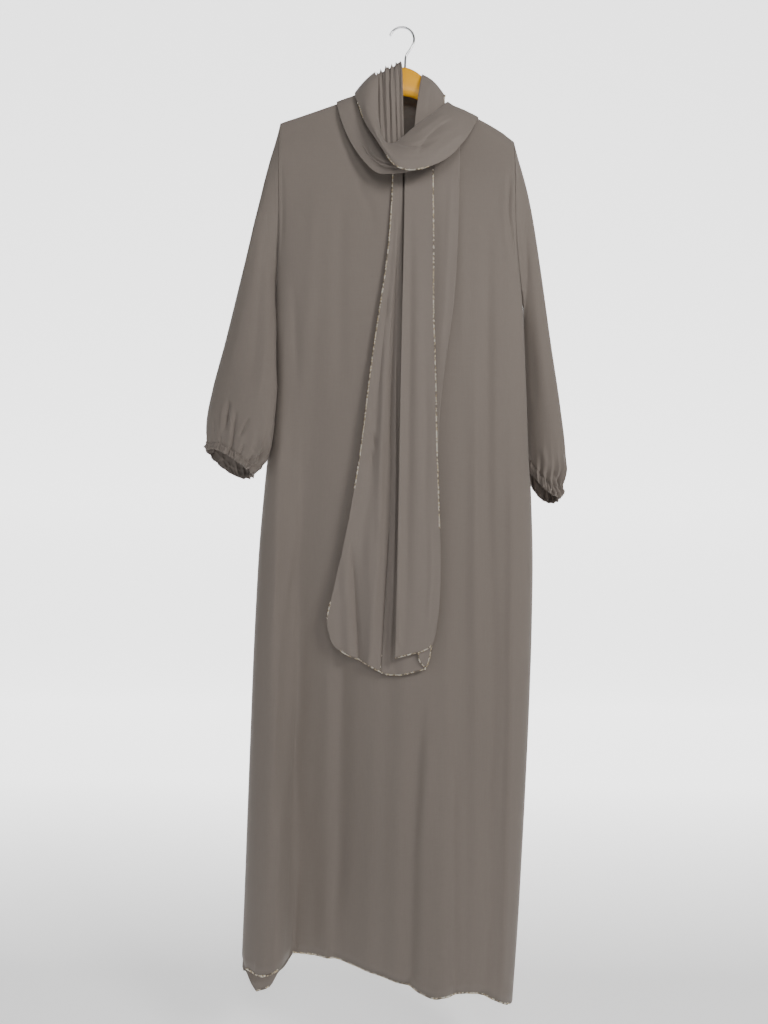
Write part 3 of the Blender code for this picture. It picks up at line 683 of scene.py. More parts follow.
def nudged(places: Array, nudges: Sequence[Nudge]) -> Array:
    """Returns points after moves that spread smoothly between a few nudges.

    Args:
        places: Points in millimetres.
        nudges: The moves at their places, seen from the front.

    Returns:
        The moved points.
    """
    if not nudges:
        return places
    scale = 0.01
    least = 1e-9
    knots = np.array([(nudge.x, nudge.z) for nudge in nudges]) * scale
    moves = np.array([(nudge.right, nudge.up) for nudge in nudges])
    count = len(knots)

    def pull(points: Array) -> Array:
        """Returns each nudge's pull at points, and the flat part of the move."""
        squared = ((points[:, None, :] - knots[None, :, :]) ** 2).sum(axis=2)
        bend = 0.5 * squared * np.log(squared + least)
        return np.hstack([bend, np.ones((len(points), 1)), points])

    upper = pull(knots)
    lower = np.hstack([upper[:, count:].T, np.zeros((3, 3))])
    wanted = np.vstack([moves, np.zeros((3, 2))])
    weights = np.linalg.lstsq(np.vstack([upper, lower]), wanted, rcond=None)[0]
    moved = places.copy()
    moved[:, (0, 2)] += pull(places[:, (0, 2)] * scale) @ weights
    return moved


@dataclass(frozen=True)
class CuffRing:
    """A section near a sleeve's cuff, seen from the front.

    Attributes:
        outer: Its end away from the body, across and up.
        inner: Its end beside the body.
        sag: How far its front hangs below the line between its ends, at the middle.
        back_sag: How much lower than that its back hangs.
    """

    outer: Place
    inner: Place
    sag: float
    back_sag: float


def ring_columns(rings: Sequence[CuffRing], number: Array) -> Array:
    """Returns the sizes of the rings at fractional ring numbers, a row for each size."""
    table = np.array([(*ring.outer, *ring.inner, ring.sag, ring.back_sag) for ring in rings])
    steps = np.arange(len(rings))
    return np.stack([np.interp(number, steps, table[:, i]) for i in range(table.shape[1])])


def ring_places(
    rings: Sequence[CuffRing], number: Array, share: Array, back: Array
) -> tuple[Array, Array]:
    """Returns the x and z of points on rings.

    Args:
        rings: The rings from a fixed one down.
        number: The points' ring numbers, which may lie between two rings.
        share: Their shares of the way from the inner end to the outer one.
        back: 1 for points at the back of the sleeve and 0 for its front.

    Returns:
        The places across, and the heights.
    """
    outer_x, outer_z, inner_x, inner_z, sag, back_sag = ring_columns(rings, number)
    middle = np.clip(1 - (2 * share - 1) ** 2, 0.0, 1.0)
    x = inner_x + share * (outer_x - inner_x)
    z = inner_z + share * (outer_z - inner_z) - (sag + back * back_sag) * middle
    return x, z


def refitted(
    places: Array, back: Array, solid: Sequence[CuffRing], shown: Sequence[CuffRing]
) -> Array:
    """Returns a cuff's points moved from the solid's rings to the rings of the garment shown.

    Args:
        places: Points in millimetres.
        back: 1 for points at the back of the sleeve and 0 for its front.
        solid: The rings of the solid, from a fixed one down.
        shown: The same rings where the garment has them.

    Returns:
        The moved points.
    """
    steps = 8
    levels = np.linspace(0.0, len(solid) - 1.0, steps * (len(solid) - 1) + 1)
    heights = []
    for level in levels:
        number = np.full(len(places), level)
        outer_x, _, inner_x, _, _, _ = ring_columns(solid, number)
        share = np.clip((places[:, 0] - inner_x) / (outer_x - inner_x), 0.0, 1.0)
        heights.append(ring_places(solid, number, share, back)[1])
    grid = np.array(heights)
    above = (grid > places[:, 2]).sum(axis=0)
    upper = np.clip(above - 1, 0, len(levels) - 2)
    every = np.arange(len(places))
    span = grid[upper, every] - grid[upper + 1, every]
    t = np.clip((grid[upper, every] - places[:, 2]) / np.maximum(span, 1e-6), 0.0, 1.0)
    number = levels[upper] + t * (levels[1] - levels[0])
    outer_x, _, inner_x, _, _, _ = ring_columns(solid, number)
    share = (places[:, 0] - inner_x) / (outer_x - inner_x)
    from_x, from_z = ring_places(solid, number, share, back)
    to_x, to_z = ring_places(shown, number, share, back)
    moved = places.copy()
    moved[:, 0] += to_x - from_x
    moved[:, 2] += to_z - from_z
    return moved


# Creases


@dataclass(frozen=True)
class Crease:
    """A soft trough along a path, or a ridge where its depth is negative.

    Attributes:
        path: Corners of the path from its top, across and up.
        left: Its reach to the left.
        right: Its reach to the right.
        depth: Its depth.
        tuck: How far its flanks close over it.
        fade: The shares of its length over which it begins and ends.
        side: The side of the garment that it lies on.
    """

    path: tuple[Place, ...]
    left: float
    right: float
    depth: float
    tuck: float = 0.0
    fade: Place = (0.3, 0.15)
    side: Side = Side.FRONT

    def near(self, places: Array) -> tuple[Array, Array]:
        """Returns each point's way from the path, positive on its right, and its share along it."""
        line = smooth_path(self.path)
        lengths = np.linalg.norm(np.diff(line, axis=0), axis=1)
        run = np.concatenate([[0.0], np.cumsum(lengths)])
        best = np.full(len(places), 1e9)
        signed = np.zeros(len(places))
        share = np.zeros(len(places))
        for i, length in enumerate(lengths):
            along = (line[i + 1] - line[i]) / length
            offset = places - line[i]
            t = np.clip(offset @ along, 0.0, length)
            gap = np.linalg.norm(offset - t[:, None] * along, axis=1)
            closer = gap < best
            best[closer] = gap[closer]
            turn = offset[:, 0] * -along[1] + offset[:, 1] * along[0]
            signed[closer] = np.where(turn > 0, gap, -gap)[closer]
            share[closer] = ((run[i] + t) / run[-1])[closer]
        return signed, share

    def moves(self, places: Array, outward: Array) -> Array:
        """Returns how far the crease moves each point.

        Args:
            places: Points in millimetres.
            outward: The direction out of the cloth at each point.

        Returns:
            A vector for each point.
        """
        gap, share = self.near(places[:, (0, 2)])
        reach = np.where(gap < 0, self.left, self.right)
        bell = np.exp(-((gap / reach) ** 2))
        start, end = self.fade
        if start > 0:
            bell = bell * smooth(share / start)
        if end > 0:
            bell = bell * smooth((1 - share) / end)
        whole_from = 0.5
        facing = outward[:, 1] * self.side.value
        bell = bell * smooth(facing / whole_from)
        shift = -outward * (self.depth * bell)[:, None]
        shift[:, 0] -= self.tuck * bell * gap / reach
        return shift


@dataclass(frozen=True)
class Wave:
    """A faint even swell across hanging cloth, fuller towards its foot.

    Attributes:
        length: From crest to crest.
        depth: Height of a crest at the foot.
        phase: Where it starts, in turns.
        slant: How far it drifts across for each millimetre down.
    """

    length: float
    depth: float
    phase: float
    slant: float = 0.0

    def moves(self, places: Array, outward: Array, top: float, foot: float) -> Array:
        """Returns how far the swell moves each point."""
        fall = smooth((top - places[:, 2]) / (top - foot))
        across = places[:, 0] + self.slant * places[:, 2]
        swell = np.sin(math.tau * (across / self.length + self.phase)) * self.depth * fall
        return outward * swell[:, None]


# Edges


@dataclass(frozen=True)
class Stretch:
    """A window on the garment, seen from the front, that holds a stretch of its overlocked rim.

    Attributes:
        left: Its left side.
        right: Its right side.
        top: Its top.
        foot: Its foot.
        ahead_of: The depth that the rim stays in front of.
        steep: The steepest that the rim runs, 1 for straight up.
        edge: Heights, and the places across there that the rim lies to the left of.
    """

    left: float = -math.inf
    right: float = math.inf
    top: float = math.inf
    foot: float = -math.inf
    ahead_of: float = math.inf
    steep: float = math.inf
    edge: Sequence[Place] = ()

    def holds(self, path: Array, tangent: Array) -> Array:
        """Returns True for the points of a rim that lie in the window."""
        x, y, z = path.T
        held = (x > self.left) & (x < self.right) & (z > self.foot) & (z < self.top)
        held = held & (y < self.ahead_of) & (np.abs(tangent[:, 2]) < self.steep)
        if self.edge:
            heights, across = zip(*self.edge)
            held = held & (x < np.interp(z, heights, across))
        return held


@dataclass
class Rim:
    """A run of points along a piece's rim.

    Attributes:
        numbers: The points' numbers, in order.
        closed: Whether the last point joins the first.
    """

    numbers: list[int]
    closed: bool = False


def rim_chains(piece: bpy.types.Object, outward: Array, angle: float) -> list[Rim]:
    """Returns the runs of sharp edges round a piece, but not those across its thickness.

    Args:
        piece: The piece.
        outward: The direction out of the cloth at each point.
        angle: Edges that turn by less than this, in degrees, aren't sharp.

    Returns:
        The runs.
    """
    most_outward = 0.75
    fewest = 4
    mesh = bmesh.new()
    mesh.from_mesh(piece.data)
    mesh.normal_update()
    mesh.verts.ensure_lookup_table()
    touching: dict[int, list[int]] = {}
    for edge in mesh.edges:
        if edge.calc_face_angle(0.0) < math.radians(angle):
            continue
        a, b = edge.verts
        along = np.array((b.co - a.co).normalized())
        if abs(along @ outward[a.index]) > most_outward:
            continue
        touching.setdefault(a.index, []).append(b.index)
        touching.setdefault(b.index, []).append(a.index)
    mesh.free()
    chains = []
    left = set(touching)
    ends_first = sorted(left, key=lambda i: (len(touching[i]) != 1, i))
    for seed in ends_first:
        if seed not in left:
            continue
        chain = [seed]
        left.discard(seed)
        while True:
            onward = [i for i in touching[chain[-1]] if i in left]
            if not onward:
                break
            chain.append(onward[0])
            left.discard(onward[0])
        closed = len(chain) > fewest and chain[0] in touching[chain[-1]]
        if len(chain) >= fewest:
            chains.append(Rim(chain, closed))
    return chains


def kept_runs(chain: Rim, kept: Array, shortest: int = 6) -> list[Rim]:
    """Returns the runs of a chain whose points are kept, a closed chain turned to start between runs."""
    numbers = list(chain.numbers)
    flags = [bool(kept[i]) for i in numbers]
    if all(flags):
        return [Rim(numbers, chain.closed)]
    if chain.closed:
        turn = flags.index(False)
        numbers = numbers[turn:] + numbers[:turn]
        flags = flags[turn:] + flags[:turn]
    runs = []
    run: list[int] = []
    for number, flag in zip(numbers, flags):
        if flag:
            run.append(number)
            continue
        if len(run) >= shortest:
            runs.append(Rim(run))
        run = []
    if len(run) >= shortest:
        runs.append(Rim(run))
    return runs


@dataclass(frozen=True)
class Overlock:
    """A thread wound over a cloth edge.

    Attributes:
        pitch: The way from turn to turn.
        reach: How far it reaches in from the edge.
        lift: How far it stands over each face.
        thread: The thread's radius.
        overhang: How far it reaches out over the edge.
        uneven: The least and the most that a turn's reach is multiplied by.
        corners: Points to a turn.
        sides: Sides of the thread.
        step: The way between the points at which the edge is measured.
    """

    pitch: float = 1.35
    reach: float = 2.5
    lift: float = 0.25
    thread: float = 0.36
    overhang: float = 0.5
    uneven: Place = (0.8, 1.15)
    corners: int = 7
    sides: int = 4
    step: float = 3.0

    def wind(
        self, path: Array, outward: Array, into: Array, thickness: float, seed: int
    ) -> tuple[list, list]:
        """Returns the points and faces of a thread wound along a path.

        Args:
            path: The outer corner of the edge, in millimetres.
            outward: The direction out of the cloth at each point of the path.
            into: The direction from the edge into the cloth.
            thickness: The cloth's thickness.
            seed: Sets the thread's small unevenness.

        Returns:
            Points in millimetres, and faces.
        """
        lengths = np.linalg.norm(np.diff(path, axis=0), axis=1)
        run = np.concatenate([[0.0], np.cumsum(lengths)])
        turns = run[-1] / self.pitch
        count = max(int(turns * self.corners), 8)
        place = np.linspace(0, run[-1], count)

        def along(rows: Array) -> Array:
            """Returns rows of the path's points at the thread's own points."""
            return np.stack([np.interp(place, run, rows[:, i]) for i in range(3)], axis=1)

        out = unit(along(outward))
        inward = unit(along(into))
        draws = np.random.default_rng(seed)
        wobble = np.repeat(draws.uniform(*self.uneven, int(turns) + 2), self.corners)[:count]
        if len(wobble) < count:
            wobble = np.pad(wobble, (0, count - len(wobble)), mode="edge")
        angle = math.tau * place / self.pitch
        half = 0.5 * self.reach
        centre = along(path) - out * (0.5 * thickness) + inward * (half - self.overhang)
        line = centre + inward * (half * wobble * np.cos(angle))[:, None]
        line = line + out * ((0.5 * thickness + self.lift) * np.sin(angle))[:, None]
        return tube(line, self.thread, self.sides)


def tube(line: Array, radius: float, sides: int) -> tuple[list, list]:
    """Returns the points and faces of a closed tube along a line, which nowhere follows the guide."""
    guide = np.array([0.31, 0.52, 0.79])
    tangent = unit(np.gradient(line, axis=0))
    first = unit(np.cross(tangent, guide))
    second = np.cross(tangent, first)
    rings = []
    for i in range(sides):
        angle = math.tau * i / sides
        rings.append(line + radius * (first * math.cos(angle) + second * math.sin(angle)))
    points = np.stack(rings, axis=1).reshape(-1, 3)
    faces: list[tuple[int, ...]] = []
    for i in range(len(line) - 1):
        for j in range(sides):
            a = i * sides + j
            b = i * sides + (j + 1) % sides
            faces.append((a, b, b + sides, a + sides))
    faces.append(tuple(range(sides - 1, -1, -1)))
    last = (len(line) - 1) * sides
    faces.append(tuple(range(last, last + sides)))
    return points.tolist(), faces


def mesh_of(name: str, parts: Sequence[tuple[list, list]]) -> bpy.types.Mesh:
    """Joins parts, each its points in millimetres and its faces, into one mesh."""
    points: list = []
    faces: list = []
    for part_points, part_faces in parts:
        start = len(points)
        points += [(x * MM, y * MM, z * MM) for x, y, z in part_points]
        faces += [tuple(start + i for i in face) for face in part_faces]
    mesh = bpy.data.meshes.new(name)
    mesh.from_pydata(points, [], faces)
    mesh.validate()
    mesh.polygons.foreach_set("use_smooth", [True] * len(mesh.polygons))
    return mesh


# Cloth


@dataclass
class Cloth:
    """A piece of cloth made on its solid.

    Attributes:
        node: The solid's name.
        name: The piece's name.
        material: Its finish.
        slot: Not used.
        flat: Width and length that it was cut to, in metres; not used.
        area: Its flat area in square metres, where it isn't a rectangle; not used.
        thickness: Its thickness in millimetres.
        levels: Rounds of subdivision.
        longest: Edges of the solid longer than this are halved first.
        fine_below: Faces below this height are halved first.
        creases: Its creases.
        waves: Its faint swells.
        held: How it is held; not used.
        hung_from: The nodes that it hangs from; not used.
        seams: The nodes that it is sewn to.
        gold: The windows that hold its overlocked edges.
        seam_reach: How far from a seam the creases and swells fade in.
        seam_dip: How far the cloth dips along a seam.
        seam_line: The way from the seam to the middle of the dip.
        seam_width: The dip's reach from its middle.
        seam_gap: The widest gap between sewn pieces.
        rim_angle: Edges that turn by more than this, in degrees, are rims.
        calmed: Rounds that even out the solid's own pleats.
        calm_angle: Edges that turn by more than this, in degrees, stay as they are in those rounds.
        piece: The finished piece.
    """

    node: str
    name: str
    material: bpy.types.Material
    slot: str
    flat: tuple[float, float]
    thickness: float
    area: float | None = None
    levels: int = 2
    longest: float = 1000.0
    fine_below: float | None = None
    creases: Sequence[Crease] = ()
    waves: Sequence[Wave] = ()
    held: Held = Held.HUNG
    hung_from: Sequence[str] = ("hanger_wood",)
    seams: Sequence[str] = ()
    gold: Sequence[Stretch] = ()
    seam_reach: float = 11.0
    seam_dip: float = 0.5
    seam_line: float = 1.0
    seam_width: float = 1.8
    seam_gap: float = 1.2
    rim_angle: float = 48.0
    calmed: int = 0
    calm_angle: float = 48.0
    piece: bpy.types.Object = field(init=False)

    def outward(self, places: Array) -> Array:
        """Returns the direction out of the cloth at each point."""
        raise NotImplementedError

    def fitted(self, places: Array, outward: Array) -> Array:
        """Returns the solid's points moved to the garment's own line."""
        return places

    def shaped(self, places: Array, outward: Array, calm: Array) -> Array:
        """Returns a piece's points after its creases and swells."""
        top = places[:, 2].max()
        foot = places[:, 2].min()
        moved = places.copy()
        for wave in self.waves:
            moved += wave.moves(places, outward, top, foot) * calm[:, None]
        for crease in self.creases:
            moved += crease.moves(places, outward) * calm[:, None]
        return moved

    def seam_gaps(
        self, places: Array, rims: Sequence[Rim], nodes: dict[str, bpy.types.Object]
    ) -> Array:
        """Returns how far each point lies from the piece's nearest seam."""
        far = 1e6
        trees = []
        for name in self.seams:
            mesh = nodes[name].data
            mesh.calc_loop_triangles()
            corners = [v.co for v in mesh.vertices]
            trees.append(BVHTree.FromPolygons(corners, [tuple(t.vertices) for t in mesh.loop_triangles]))
        sewn = []
        for rim in rims:
            for number in rim.numbers:
                point = Vector(places[number] * MM)
                if any(tree.find_nearest(point, self.seam_gap * MM)[0] is not None for tree in trees):
                    sewn.append(point)
        if not sewn:
            return np.full(len(places), far)
        near = KDTree(len(sewn))
        for i, point in enumerate(sewn):
            near.insert(point, i)
        near.balance()
        return np.array([near.find(Vector(place * MM))[2] / MM for place in places])

    def build(self, frame: dict[str, Any]) -> bpy.types.Object:
        """Returns:
            The finished piece.
        """
        nodes = frame["nodes"]
        piece = welded_copy(nodes[self.node], self.name, self.material)
        split_long_edges(piece, self.longest)
        if self.fine_below is not None:
            split_low_faces(piece, self.fine_below)
        if self.calmed:
            calm_inside(piece, self.calmed, self.calm_angle)
        crease_sharp_edges(piece, self.rim_angle)
        round_off(piece, self.levels)
        self.piece = piece
        places = places_of(piece)
        outward = self.outward(places)
        rims = rim_chains(piece, outward, self.rim_angle)
        gaps = self.seam_gaps(places, rims, nodes)
        calm = smooth(gaps / self.seam_reach)
        places = self.fitted(places, outward)
        outward = self.outward(places)
        moved = self.shaped(places, outward, calm)
        off_rim = gaps > 0.05
        dip = self.seam_dip * np.exp(-(((gaps - self.seam_line) / self.seam_width) ** 2)) * off_rim
        moved -= outward * dip[:, None]
        move_to(piece, moved)
        shade(piece)
        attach(piece, "root")
        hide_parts(self.node)
        log.info("%s: %d faces", self.name, len(piece.data.polygons))
        return piece

    def overlock(
        self, winder: Overlock, material: bpy.types.Material, seed: int
    ) -> bpy.types.Object | None:
        """Winds the metallic thread over the piece's free edges.

        Args:
            winder: The thread's own sizes.
            material: The thread's finish.
            seed: Sets its unevenness.

        Returns:
            The thread as one piece, or None where the piece has no such edge.
        """
        if not self.gold:
            return None
        places = places_of(self.piece)
        outward = self.outward(places)
        face_outward = outer_normals(self.piece, outward)
        middle = places.mean(axis=0)
        runs: list[Rim] = []
        for chain in rim_chains(self.piece, outward, self.rim_angle):
            path = places[chain.numbers]
            tangent = unit(np.gradient(path, axis=0))
            kept = np.zeros(len(places), dtype=bool)
            kept[chain.numbers] = np.any([stretch.holds(path, tangent) for stretch in self.gold], axis=0)
            runs += kept_runs(chain, kept)
        parts = []
        for run in runs:
            corners = places[run.numbers]
            if not self.on_outer_face(corners, outward[run.numbers], places):
                continue
            path = resampled(corners, winder.step)
            tangent = unit(np.gradient(path, axis=0))
            nearest = np.linalg.norm(path[:, None] - corners[None], axis=2).argmin(axis=1)
            out = unit(face_outward[run.numbers][nearest])
            across = unit(np.cross(tangent, out))
            facing = np.sign((across * (middle - path)).sum(axis=1).mean())
            into = across * facing
            parts.append(winder.wind(path, out, into, self.thickness, seed + len(parts)))
        if not parts:
            return None
        thread = link(f"{self.name}_edge", mesh_of(f"{self.name}_edge", parts), material)
        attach(thread, "root")
        log.info("%s: %d runs, %d faces", thread.name, len(parts), len(thread.data.polygons))
        return thread

    def on_outer_face(self, path: Array, out: Array, places: Array) -> bool:
        """Returns True for a run of rim that has the piece's own cloth behind it.

        Args:
            path: The run's points.
            out: The direction out of the cloth at each of them.
            places: The piece's points.
        """
        trials = 12
        near = KDTree(len(places))
        for i, place in enumerate(places):
            near.insert(Vector(place), i)
        near.balance()
        step = max(len(path) // trials, 1)
        votes = 0
        for point, direction in zip(path[::step], out[::step]):
            behind = Vector(point - direction * self.thickness)
            ahead = Vector(point + direction * self.thickness)
            votes += 1 if near.find(behind)[2] < near.find(ahead)[2] else -1
        return votes > 0

    def declare(self, edge: bpy.types.Object | None) -> None:
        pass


@dataclass
class Panel(Cloth):
    """A panel that hangs facing the front or the back.

    Attributes:
        side: The side that it faces.
        hem_moves: How far its hem lies over the solid's, at places across.
        hem_reach: How far up the hem's move fades out, and where it starts.
        head_lift: How far its upper end reaches up under the wrap.
        head_reach: The heights between which the lift fades in.
        left_moves: How far its left side lies over the solid's, at heights.
        right_moves: The same for its right side.
        side_reach: The places across between which the sides' moves fade in.
    """

    side: Side = Side.FRONT
    hem_moves: Sequence[Place] = ()
    hem_reach: Place = (-1300.0, -1555.0)
    head_lift: float = 0.0
    head_reach: Place = (-306.0, -266.0)
    left_moves: Sequence[Place] = ()
    right_moves: Sequence[Place] = ()
    side_reach: Place = (80.0, 195.0)

    def fitted(self, places: Array, outward: Array) -> Array:
        """Returns the points with the hem at its own height and the head under the wrap."""
        moved = places.copy()
        if self.hem_moves:
            start, end = self.hem_reach
            share = smooth((start - places[:, 2]) / (start - end))
            moved[:, 2] += bent(self.hem_moves, places[:, 0]) * share
        if self.head_lift:
            start, end = self.head_reach
            moved[:, 2] += self.head_lift * smooth((places[:, 2] - start) / (end - start))
        start, end = self.side_reach
        if self.left_moves:
            share = smooth((-start - places[:, 0]) / (end - start))
            moved[:, 0] += bent(self.left_moves, places[:, 2]) * share
        if self.right_moves:
            share = smooth((places[:, 0] - start) / (end - start))
            moved[:, 0] += bent(self.right_moves, places[:, 2]) * share
        return moved

    def outward(self, places: Array) -> Array:
        """Returns straight out to the front or the back."""
        out = np.zeros_like(places)
        out[:, 1] = self.side.value
        return out


@dataclass
class Turn(Cloth):
    """A stretch of scarf that goes round the hanger's neck, its outside away from the neck's middle.

    Attributes:
        middle: That place.
        lift: How much the outside leans up.
        nudges: Moves that put its edges on their own line.
    """

    middle: tuple[float, float, float] = (20.0, 4.0, -170.0)
    lift: float = 0.25
    nudges: Sequence[Nudge] = ()

    def fitted(self, places: Array, outward: Array) -> Array:
        """Returns the points with the stretch's edges on their own line."""
        return nudged(places, self.nudges)

    def outward(self, places: Array) -> Array:
        """Returns the direction away from the middle of the loop, leaning up."""
        away = places - np.array(self.middle)
        away[:, 2] *= self.lift
        return unit(away)


@dataclass(frozen=True)
class Gather:
    """A gather that runs up a sleeve from its elastic casing.

    Attributes:
        angle: Its place round the cuff, in degrees.
        width: Its width, in degrees.
        height: How far up it runs.
        depth: Its depth.
        slant: Degrees that it drifts for each millimetre up.
    """

    angle: float
    width: float
    height: float
    depth: float
    slant: float = 0.0


@dataclass(frozen=True)
class Stitching:
    """A row of small stitches round a cuff.

    Attributes:
        step: The way from stitch to stitch.
        shares: The shares of a step that a stitch runs through.
        thread: The thread's radius.
        sides: Sides of the thread.
        lift: How far the thread's middle stands over the cloth.
        corners: Places round the cuff at which the row is measured.
    """

    step: float = 3.1
    shares: tuple[float, ...] = (0.16, 0.26, 0.5, 0.74, 0.84)
    thread: float = 0.28
    sides: int = 5
    lift: float = 0.18
    corners: int = 90


@dataclass
class Sleeve(Cloth):
    """A sleeve drawn in by an elastic casing at the wrist.

    Attributes:
        gathers: Its gathers.
        gather_foot: The height over which the gathers begin.
        gather_fade: The share of its height over which a gather ends.
        casing: The casing's height.
        casing_end: The height over which the casing's ruffles end.
        puff: How far the elastic pushes the casing out.
        ruffle: Half the depth of the casing's ruffles.
        ruffles: How many ruffles go round the cuff.
        drift: How far a ruffle lies off its even place, in degrees of its own wave.
        drifts: How often that goes there and back round the cuff.
        channel: The depth of the channel that the stitches pull in.
        channel_reach: The channel's reach up and down.
        stitching: The row of stitches.
        solid_rings: The cuff's rings where the solid has them.
        shown_rings: The same rings where the garment has them.
        side_moves: How far its side by the body lies over the solid's, at heights.
        side_reach: The places across between which that fades in.
    """

    gathers: Sequence[Gather] = ()
    gather_foot: float = 6.0
    gather_fade: float = 0.8
    casing: float = 12.0
    casing_end: float = 3.0
    puff: float = 0.9
    ruffle: float = 0.9
    ruffles: int = 41
    drift: float = 40.0
    drifts: int = 5
    channel: float = 1.1
    channel_reach: float = 1.6
    stitching: Stitching = Stitching()
    solid_rings: Sequence[CuffRing] = ()
    shown_rings: Sequence[CuffRing] = ()
    side_moves: Sequence[Place] = ()
    side_reach: Place = (-245.0, -208.0)
    _middle: tuple[Array, Array] | None = field(init=False, default=None)

    def facing_back(self, outward: Array) -> Array:
        """Returns 1 for points at the back of the sleeve and 0 for its front."""
        return smooth(0.5 + 0.9 * outward[:, 1])

    def fitted(self, places: Array, outward: Array) -> Array:
        """Returns the points with the cuff tilted and drawn in as the garment's is."""
        moved = refitted(places, self.facing_back(outward), self.solid_rings, self.shown_rings)
        if self.side_moves:
            start, end = self.side_reach
            share = smooth((places[:, 0] - start) / (end - start))
            moved[:, 0] += bent(self.side_moves, places[:, 2]) * share
        self._middle = None
        return moved

    def centres(self, places: Array) -> tuple[Array, Array]:
        """Returns the sleeve's middle line as heights and the x and y there."""
        steps = 40
        reach = 16.0
        levels = np.linspace(places[:, 2].min(), places[:, 2].max(), steps)
        middles = []
        for level in levels:
            near = np.abs(places[:, 2] - level) < reach
            x = places[near, 0]
            y = places[near, 1]
            middles.append(((x.min() + x.max()) / 2, (y.min() + y.max()) / 2))
        return levels, np.array(middles)

    def outward(self, places: Array) -> Array:
        """Returns the level direction away from the sleeve's middle line, found on the first call."""
        if self._middle is None:
            self._middle = self.centres(places)
        levels, middles = self._middle
        x = np.interp(places[:, 2], levels, middles[:, 0])
        y = np.interp(places[:, 2], levels, middles[:, 1])
        away = np.stack([places[:, 0] - x, places[:, 1] - y, np.zeros(len(places))], axis=1)
        return unit(away)

    def above_edge(self, places: Array, outward: Array) -> Array:
        """Returns how far points are above the cuff's edge, straight up."""
        last = np.full(len(places), len(self.shown_rings) - 1.0)
        outer_x, _, inner_x, _, _, _ = ring_columns(self.shown_rings, last)
        share = np.clip((places[:, 0] - inner_x) / (outer_x - inner_x), 0.0, 1.0)
        return places[:, 2] - ring_places(self.shown_rings, last, share, self.facing_back(outward))[1]

    def lean(self) -> float:
        """Returns the share of a height straight up that is square to the tilted cuff."""
        edge = self.shown_rings[-1]
        across = abs(edge.outer[0] - edge.inner[0])
        return across / math.hypot(across, edge.outer[1] - edge.inner[1])

    def shaped(self, places: Array, outward: Array, calm: Array) -> Array:
        """Returns the sleeve's points after its creases, its gathers and its puffed casing."""
        moved = super().shaped(places, outward, calm)
        above = self.above_edge(places, outward)
        height = above * self.lean()
        angle = np.degrees(np.arctan2(outward[:, 1], outward[:, 0]))
        for gather in self.gathers:
            away = (angle - gather.angle - gather.slant * above + 180.0) % 360.0 - 180.0
            bell = np.exp(-((away / gather.width) ** 2))
            begun = smooth(above / self.gather_foot)
            ended = smooth((gather.height - above) / (self.gather_fade * gather.height))
            moved -= outward * (gather.depth * bell * (begun * ended))[:, None]
        inside = smooth((self.casing + self.casing_end - height) / self.casing_end)
        puff = np.sin(np.pi * np.clip(height / self.casing, 0.0, 1.0)) * self.puff
        drift = self.drift * np.sin(np.radians(self.drifts * angle))
        ruffle = self.ruffle * np.cos(np.radians(self.ruffles * angle + drift))
        channel = self.channel * np.exp(-(((height - self.casing) / self.channel_reach) ** 2))
        moved += outward * (inside * (puff + ruffle) - channel)[:, None]
        return moved

    def casing_ring(self) -> Array:
        """Returns places on the sleeve's outside at the height of the casing, in order round it."""
        row = self.stitching
        places = places_of(self.piece)
        height = self.above_edge(places, self.outward(places)) * self.lean() - self.casing
        ends = np.empty(2 * len(self.piece.data.edges), dtype=np.int32)
        self.piece.data.edges.foreach_get("vertices", ends)
        ends = ends.reshape(-1, 2)
        first, last = ends[height[ends].prod(axis=1) < 0.0].T
        share = height[first] / (height[first] - height[last])
        points = places[first] + (places[last] - places[first]) * share[:, None]
        away = points - points.mean(axis=0)
        out = unit(away)
        turn = (np.arctan2(away[:, 1], away[:, 0]) + math.pi) / math.tau
        corner = np.floor(turn * row.corners).astype(int)
        ring = []
        for number in range(row.corners):
            chosen = np.flatnonzero(corner == number)
            if len(chosen):
                far = chosen[np.argmax(np.linalg.norm(away[chosen], axis=1))]
                ring.append(points[far] + out[far] * row.lift)
        return np.array(ring)

    def stitches(self, material: bpy.types.Material) -> bpy.types.Object:
        """Sews the casing down with a row of small stitches.

        Args:
            material: The thread's finish.

        Returns:
            The stitches as one piece.
        """
        row = self.stitching
        loop = resampled(self.casing_ring(), row.step, closed=True)
        parts = []
        for start, end in zip(loop, np.roll(loop, -1, axis=0)):
            span = end - start
            if np.linalg.norm(span) < 2 * row.step:
                line = np.array([start + span * share for share in row.shares])
                parts.append(tube(line, row.thread, row.sides))
        piece = link(f"{self.name}_stitches", mesh_of(f"{self.name}_stitches", parts), material)
        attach(piece, "root")
        log.info("%s: %d stitches", piece.name, len(parts))
        return piece


# The gown


# How far each hem lies over its solid's, at places across
FRONT_HEM_MOVES = (
    (-250, 24), (-240, 11), (-230, -13), (-210, -19), (-188, -11), (-173, -2), (-158, 2), (-138, 0),
    (-59, 2), (7, -1), (29, -3), (49, -9), (68, -11), (90, -5), (121, -1.5), (143, -3), (164, -11),
    (182, -19), (200, -26),
)

BACK_HEM_MOVES = (
    (-250, 29), (-240, -14), (-217, -14), (-200, -9), (-188, 6), (-176, 6), (-140, 8), (-100, 5),
    (-60, 0), (60, 0), (140, -3.5), (182, -22), (200, -36),
)

# How far each side lies to the right of its solid's, at heights
LEFT_SIDE_MOVES = (
    (-1660, -7), (-1500, -8), (-1300, -10), (-1100, -11.5), (-900, -10.5), (-770, -9), (-700, -7),
    (-640, -6), (-560, -5), (-500, -4.5), (-440, -2), (-380, 0), (-160, 0),
)

RIGHT_SIDE_MOVES = (
    (-1660, 3.5), (-850, 3.5), (-700, 0), (-160, 0),
)

LEFT_SLEEVE_SIDE_MOVES = (
    (-800, 0), (-690, 1), (-650, 4), (-610, 6), (-560, 6), (-500, 4.5), (-450, 2), (-400, 0), (-160, 0),
)

